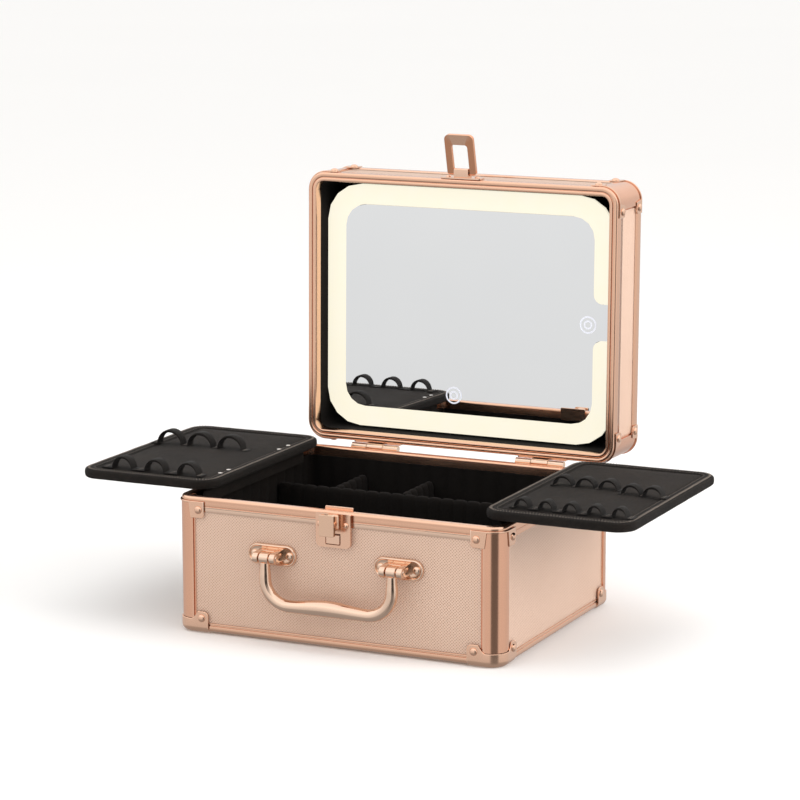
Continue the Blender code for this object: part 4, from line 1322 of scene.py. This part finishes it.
def make_straps(name, sx):
    _, board_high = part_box("brush_board_" + name)
    level = board_high.z + 0.0003
    for strap_name, start, end, arches in STRAPS[name]:
        node = "elastic_" + name + "_" + strap_name
        strap_low, strap_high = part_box(node)
        middle_y, half_w = (strap_low.y + strap_high.y) / 2, (strap_high.y - strap_low.y) / 2
        thick = 0.0011

        def rise_at(x):
            for middle, width, rise in arches:
                t = 2 * (x - middle) / width
                if abs(t) < 1:
                    return rise * (1 - t * t) ** 0.5
            return 0.0

        stations = [start]
        for middle, width, _ in arches:
            stations += [middle - width / 2 * cos(pi * k / 16) for k in range(17)]
        stations.append(end)
        section = [(-1.0, 0.5), (-0.96, 0.16), (-0.88, 0.0), (0.88, 0.0), (0.96, 0.16), (1.0, 0.5)]
        section += [(0.96, 0.84), (0.88, 1.0), (0.0, 1.06), (-0.88, 1.0), (-0.96, 0.84)]
        loops = []
        for x in stations:
            under, over = level + 0.91 * rise_at(x), level + thick + rise_at(x)
            loops.append(
                [
                    Vector((sx * x, middle_y + half_w * across, under + (over - under) * up))
                    for across, up in section
                ]
            )
        bm = add_loops(bmesh.new(), loops)
        body = name + "_board"
        piece(
            "loop_strap_" + name + "_" + strap_name, bm, ELASTIC, body, [node], bevel=0, sharp=60
        )

        # sewn spots between the loops and at the ends
        edges = [start + 0.0035]
        for (m0, w0, _), (m1, w1, _) in zip(arches, arches[1:]):
            edges.append((m0 + w0 / 2 + m1 - w1 / 2) / 2)
        edges.append(end - 0.0035)
        bm = bmesh.new()
        for x in edges:
            for dx in (-0.0008, 0.0008):
                for k in range(4):
                    y0 = middle_y - half_w * 0.8 + k * half_w * 0.42
                    add_stadium_bar(
                        bm, (sx * x + dx, y0, level + thick + 0.0001),
                        (sx * x + dx, y0 + half_w * 0.30, level + thick + 0.0001), 0.0004, 0.0003,
                    )
        piece("loop_stitching_" + name + "_" + strap_name, bm, THREAD, body, (), bevel=0, sharp=80)


BOARD_RIVETS = ((-0.1344, -0.0715), (-0.1344, -0.0565), (-0.1344, 0.0385), (-0.1344, 0.0565))


def make_board_rivets():
    """Four flat silver caps along the hinge side of the left board."""
    _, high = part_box("brush_board_left")
    bm = bmesh.new()
    for x, y in BOARD_RIVETS:
        add_lathe(
            bm, [(0.0020, -0.0006), (0.0021, 0.0002), (0.0017, 0.0005), (0.0008, 0.0007), (0, 0.0007)],
            (x, y, high.z), (0, 0, 1), 20,
        )
    piece("board_caps_left", bm, RIVET_SILVER, "left_board", (), bevel=0)


def make_hinge_tapes():
    """Fabric tape that joins a board to the inside of the case."""
    for name, sx in (("left", -1), ("right", 1)):
        low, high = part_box("board_hinge_strip_" + name)
        # tape in section: up the wall, then over to the underside of the board
        centre = [
            Vector((sx * x, TOP + z)) for x, z in (
                (0.1388, -0.0122), (0.1388, -0.0070), (0.1387, -0.0035), (0.1378, -0.0010),
                (0.1352, 0.0004), (0.1322, 0.0012), (0.1300, 0.0015),
            )
        ]
        half = 0.0007
        length = (high.y - low.y) / 2
        stations = [length * (k / 40 * 2 - 1) for k in range(41)]
        loops = []
        for y in stations:
            ends = 1 - 0.55 * max(0, (abs(y) - length + 0.003) / 0.003)
            wave = rumple((sx * 0.14, y, 0.1), 0.0003)
            left, right = [], []
            for k, spot in enumerate(centre):
                run = (centre[min(k + 1, len(centre) - 1)] - centre[max(k - 1, 0)]).normalized()
                aside = Vector((-run.y, run.x)) * half * ends
                left.append(Vector((spot.x + aside.x + wave, y, spot.y + aside.y)))
                right.insert(0, Vector((spot.x - aside.x + wave, y, spot.y - aside.y)))
            loops.append(left + right)
        bm = add_loops(bmesh.new(), loops)
        tape = piece("hinge_tape_" + name, bm, BINDING, None, bevel=0, sharp=60)
        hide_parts("board_hinge_strip_" + name)
        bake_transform(tape)


# ---- floor, light and camera -----------------------------------------------
WALLS = (
    (-180, 0.85), (-120, 0.80), (-60, 0.96), (-5, 1.04), (12, 1.02),
    (20, 0.05), (60, 0.05), (70, 1.08), (100, 1.06), (150, 0.95), (180, 0.85),
)
HEIGHTS = ((0.0, 0.35), (0.22, 0.40), (0.36, 0.72), (0.50, 0.84), (0.62, 1.0), (0.80, 1.25), (1.0, 1.1))
STUDIO_LIGHT = 1.0
STUDIO_GLOSS = 1.0


def make_stage():
    floor = bpy.data.meshes.new("floor")
    size = 30.0
    corners = [(-size, -size, 0), (size, -size, 0), (size, size, 0), (-size, size, 0)]
    floor.from_pydata(corners, [], [(0, 1, 2, 3)])
    look = Finish("studio_floor", roughness=0.7, specular_ior_level=0.1)
    cloud = look.noise(1.2, 2.0)
    look.give(base_color=look.mix(cloud, rgb(250, 249, 248), rgb(252, 251, 250)))
    floor.materials.append(look.material)
    ground = bpy.data.objects.new("floor", floor)
    bpy.context.scene.collection.objects.link(ground)
    ground.location.z = -0.0001
    ground.visible_glossy = False

    # even white light for matt surfaces; polished ones see a studio of pale walls
    # with dark stands between them
    world = bpy.data.worlds.new("studio")
    bpy.context.scene.world = world
    world.use_nodes = True
    tree = world.node_tree
    tree.nodes.clear()
    node = tree.nodes.new
    link = tree.links.new

    def math(operation, *values):
        made = node("ShaderNodeMath")
        made.operation = operation
        for index, value in enumerate(values):
            if isinstance(value, bpy.types.NodeSocket):
                link(value, made.inputs[index])
            else:
                made.inputs[index].default_value = value
        return made.outputs[0]

    def ramp(value, stops):
        made = node("ShaderNodeValToRGB")
        made.color_ramp.interpolation = "EASE"
        elements = made.color_ramp.elements
        for index, (at, level) in enumerate(stops):
            item = elements[index] if index < 2 else elements.new(at)
            item.position = at
            item.color = (level, level, level, 1)
        link(value, made.inputs[0])
        return made.outputs[0]

    direction = node("ShaderNodeTexCoord").outputs["Generated"]
    split = node("ShaderNodeSeparateXYZ")
    link(direction, split.inputs[0])
    x, y, z = split.outputs
    around = math("ARCTAN2", x, math("MULTIPLY", y, -1.0))
    around = math("ADD", math("MULTIPLY", around, 0.5 / pi), 0.5)
    walls = ramp(around, [(at / 360 + 0.5, level) for at, level in WALLS])
    height = ramp(math("ADD", math("MULTIPLY", z, 0.5), 0.5), HEIGHTS)
    near_level = math("SUBTRACT", 1.0, math("MULTIPLY", math("ABSOLUTE", math("ADD", z, 0.10)), 1.25))
    near_level = math("MAXIMUM", near_level, 0.0)
    banded = math("ADD", math("MULTIPLY", walls, near_level), math("SUBTRACT", 1.0, near_level))
    seen = math("MULTIPLY", banded, height)
    seen = math("MULTIPLY", seen, STUDIO_GLOSS)
    path = node("ShaderNodeLightPath")
    strength = node("ShaderNodeMix")
    link(path.outputs["Is Glossy Ray"], strength.inputs[0])
    strength.inputs[2].default_value = STUDIO_LIGHT
    link(seen, strength.inputs[3])
    background = node("ShaderNodeBackground")
    background.inputs["Color"].default_value = (1.0, 0.995, 0.985, 1.0)
    link(strength.outputs[0], background.inputs["Strength"])
    output = node("ShaderNodeOutputWorld")
    link(background.outputs[0], output.inputs[0])

    for name, place_at, size, power, aim in (
        ("key", (-1.1, -1.6, 1.5), 1.2, 4.5, (0, 0, 0.15)),
        ("fill", (1.9, 0.1, 0.9), 1.2, 24.0, (0, 0, 0.15)),
        ("top", (0.0, 0.2, 1.9), 1.4, 4.0, (0, 0, 0.1)),
    ):
        data = bpy.data.lights.new(name, "AREA")
        data.size = size
        data.energy = power
        lamp = bpy.data.objects.new(name, data)
        lamp.location = place_at
        lamp.rotation_euler = (Vector(aim) - Vector(place_at)).to_track_quat("-Z", "Y").to_euler()
        lamp.visible_glossy = False
        bpy.context.scene.collection.objects.link(lamp)


def make_camera():
    azimuth, elevation, roll = radians(25.09), radians(10.89), radians(-0.08)
    distance, target = 2.636, Vector((0.0027, 0, 0.191))
    data = bpy.data.cameras.new("camera")
    data.sensor_width = 36.0
    data.lens = 138.3
    camera = bpy.data.objects.new("camera", data)
    bpy.context.scene.collection.objects.link(camera)
    back = Vector(
        (cos(elevation) * sin(azimuth), -cos(elevation) * cos(azimuth), sin(elevation))
    )
    camera.location = target + back * distance
    turn = (-back).to_track_quat("-Z", "Y") @ Matrix.Rotation(roll, 3, "Z").to_quaternion()
    camera.rotation_euler = turn.to_euler()
    bpy.context.scene.camera = camera
    bpy.context.scene.view_settings.view_transform = "Standard"


# ---- everything ------------------------------------------------------------
make_camera()
make_stage()
dress_cad_nodes()
make_base_frames()
make_base_corners()
make_base_inside()
make_latch()
make_handle_brackets()
make_handle()
make_hinge_screws()
make_lid_frames()
make_lid_corners()
make_lid_lining()
make_touch_marks()
make_hasp()
for board_name, board_side in (("left", -1), ("right", 1)):
    make_board(board_name)
    make_straps(board_name, board_side)
make_board_rivets()
make_hinge_tapes()
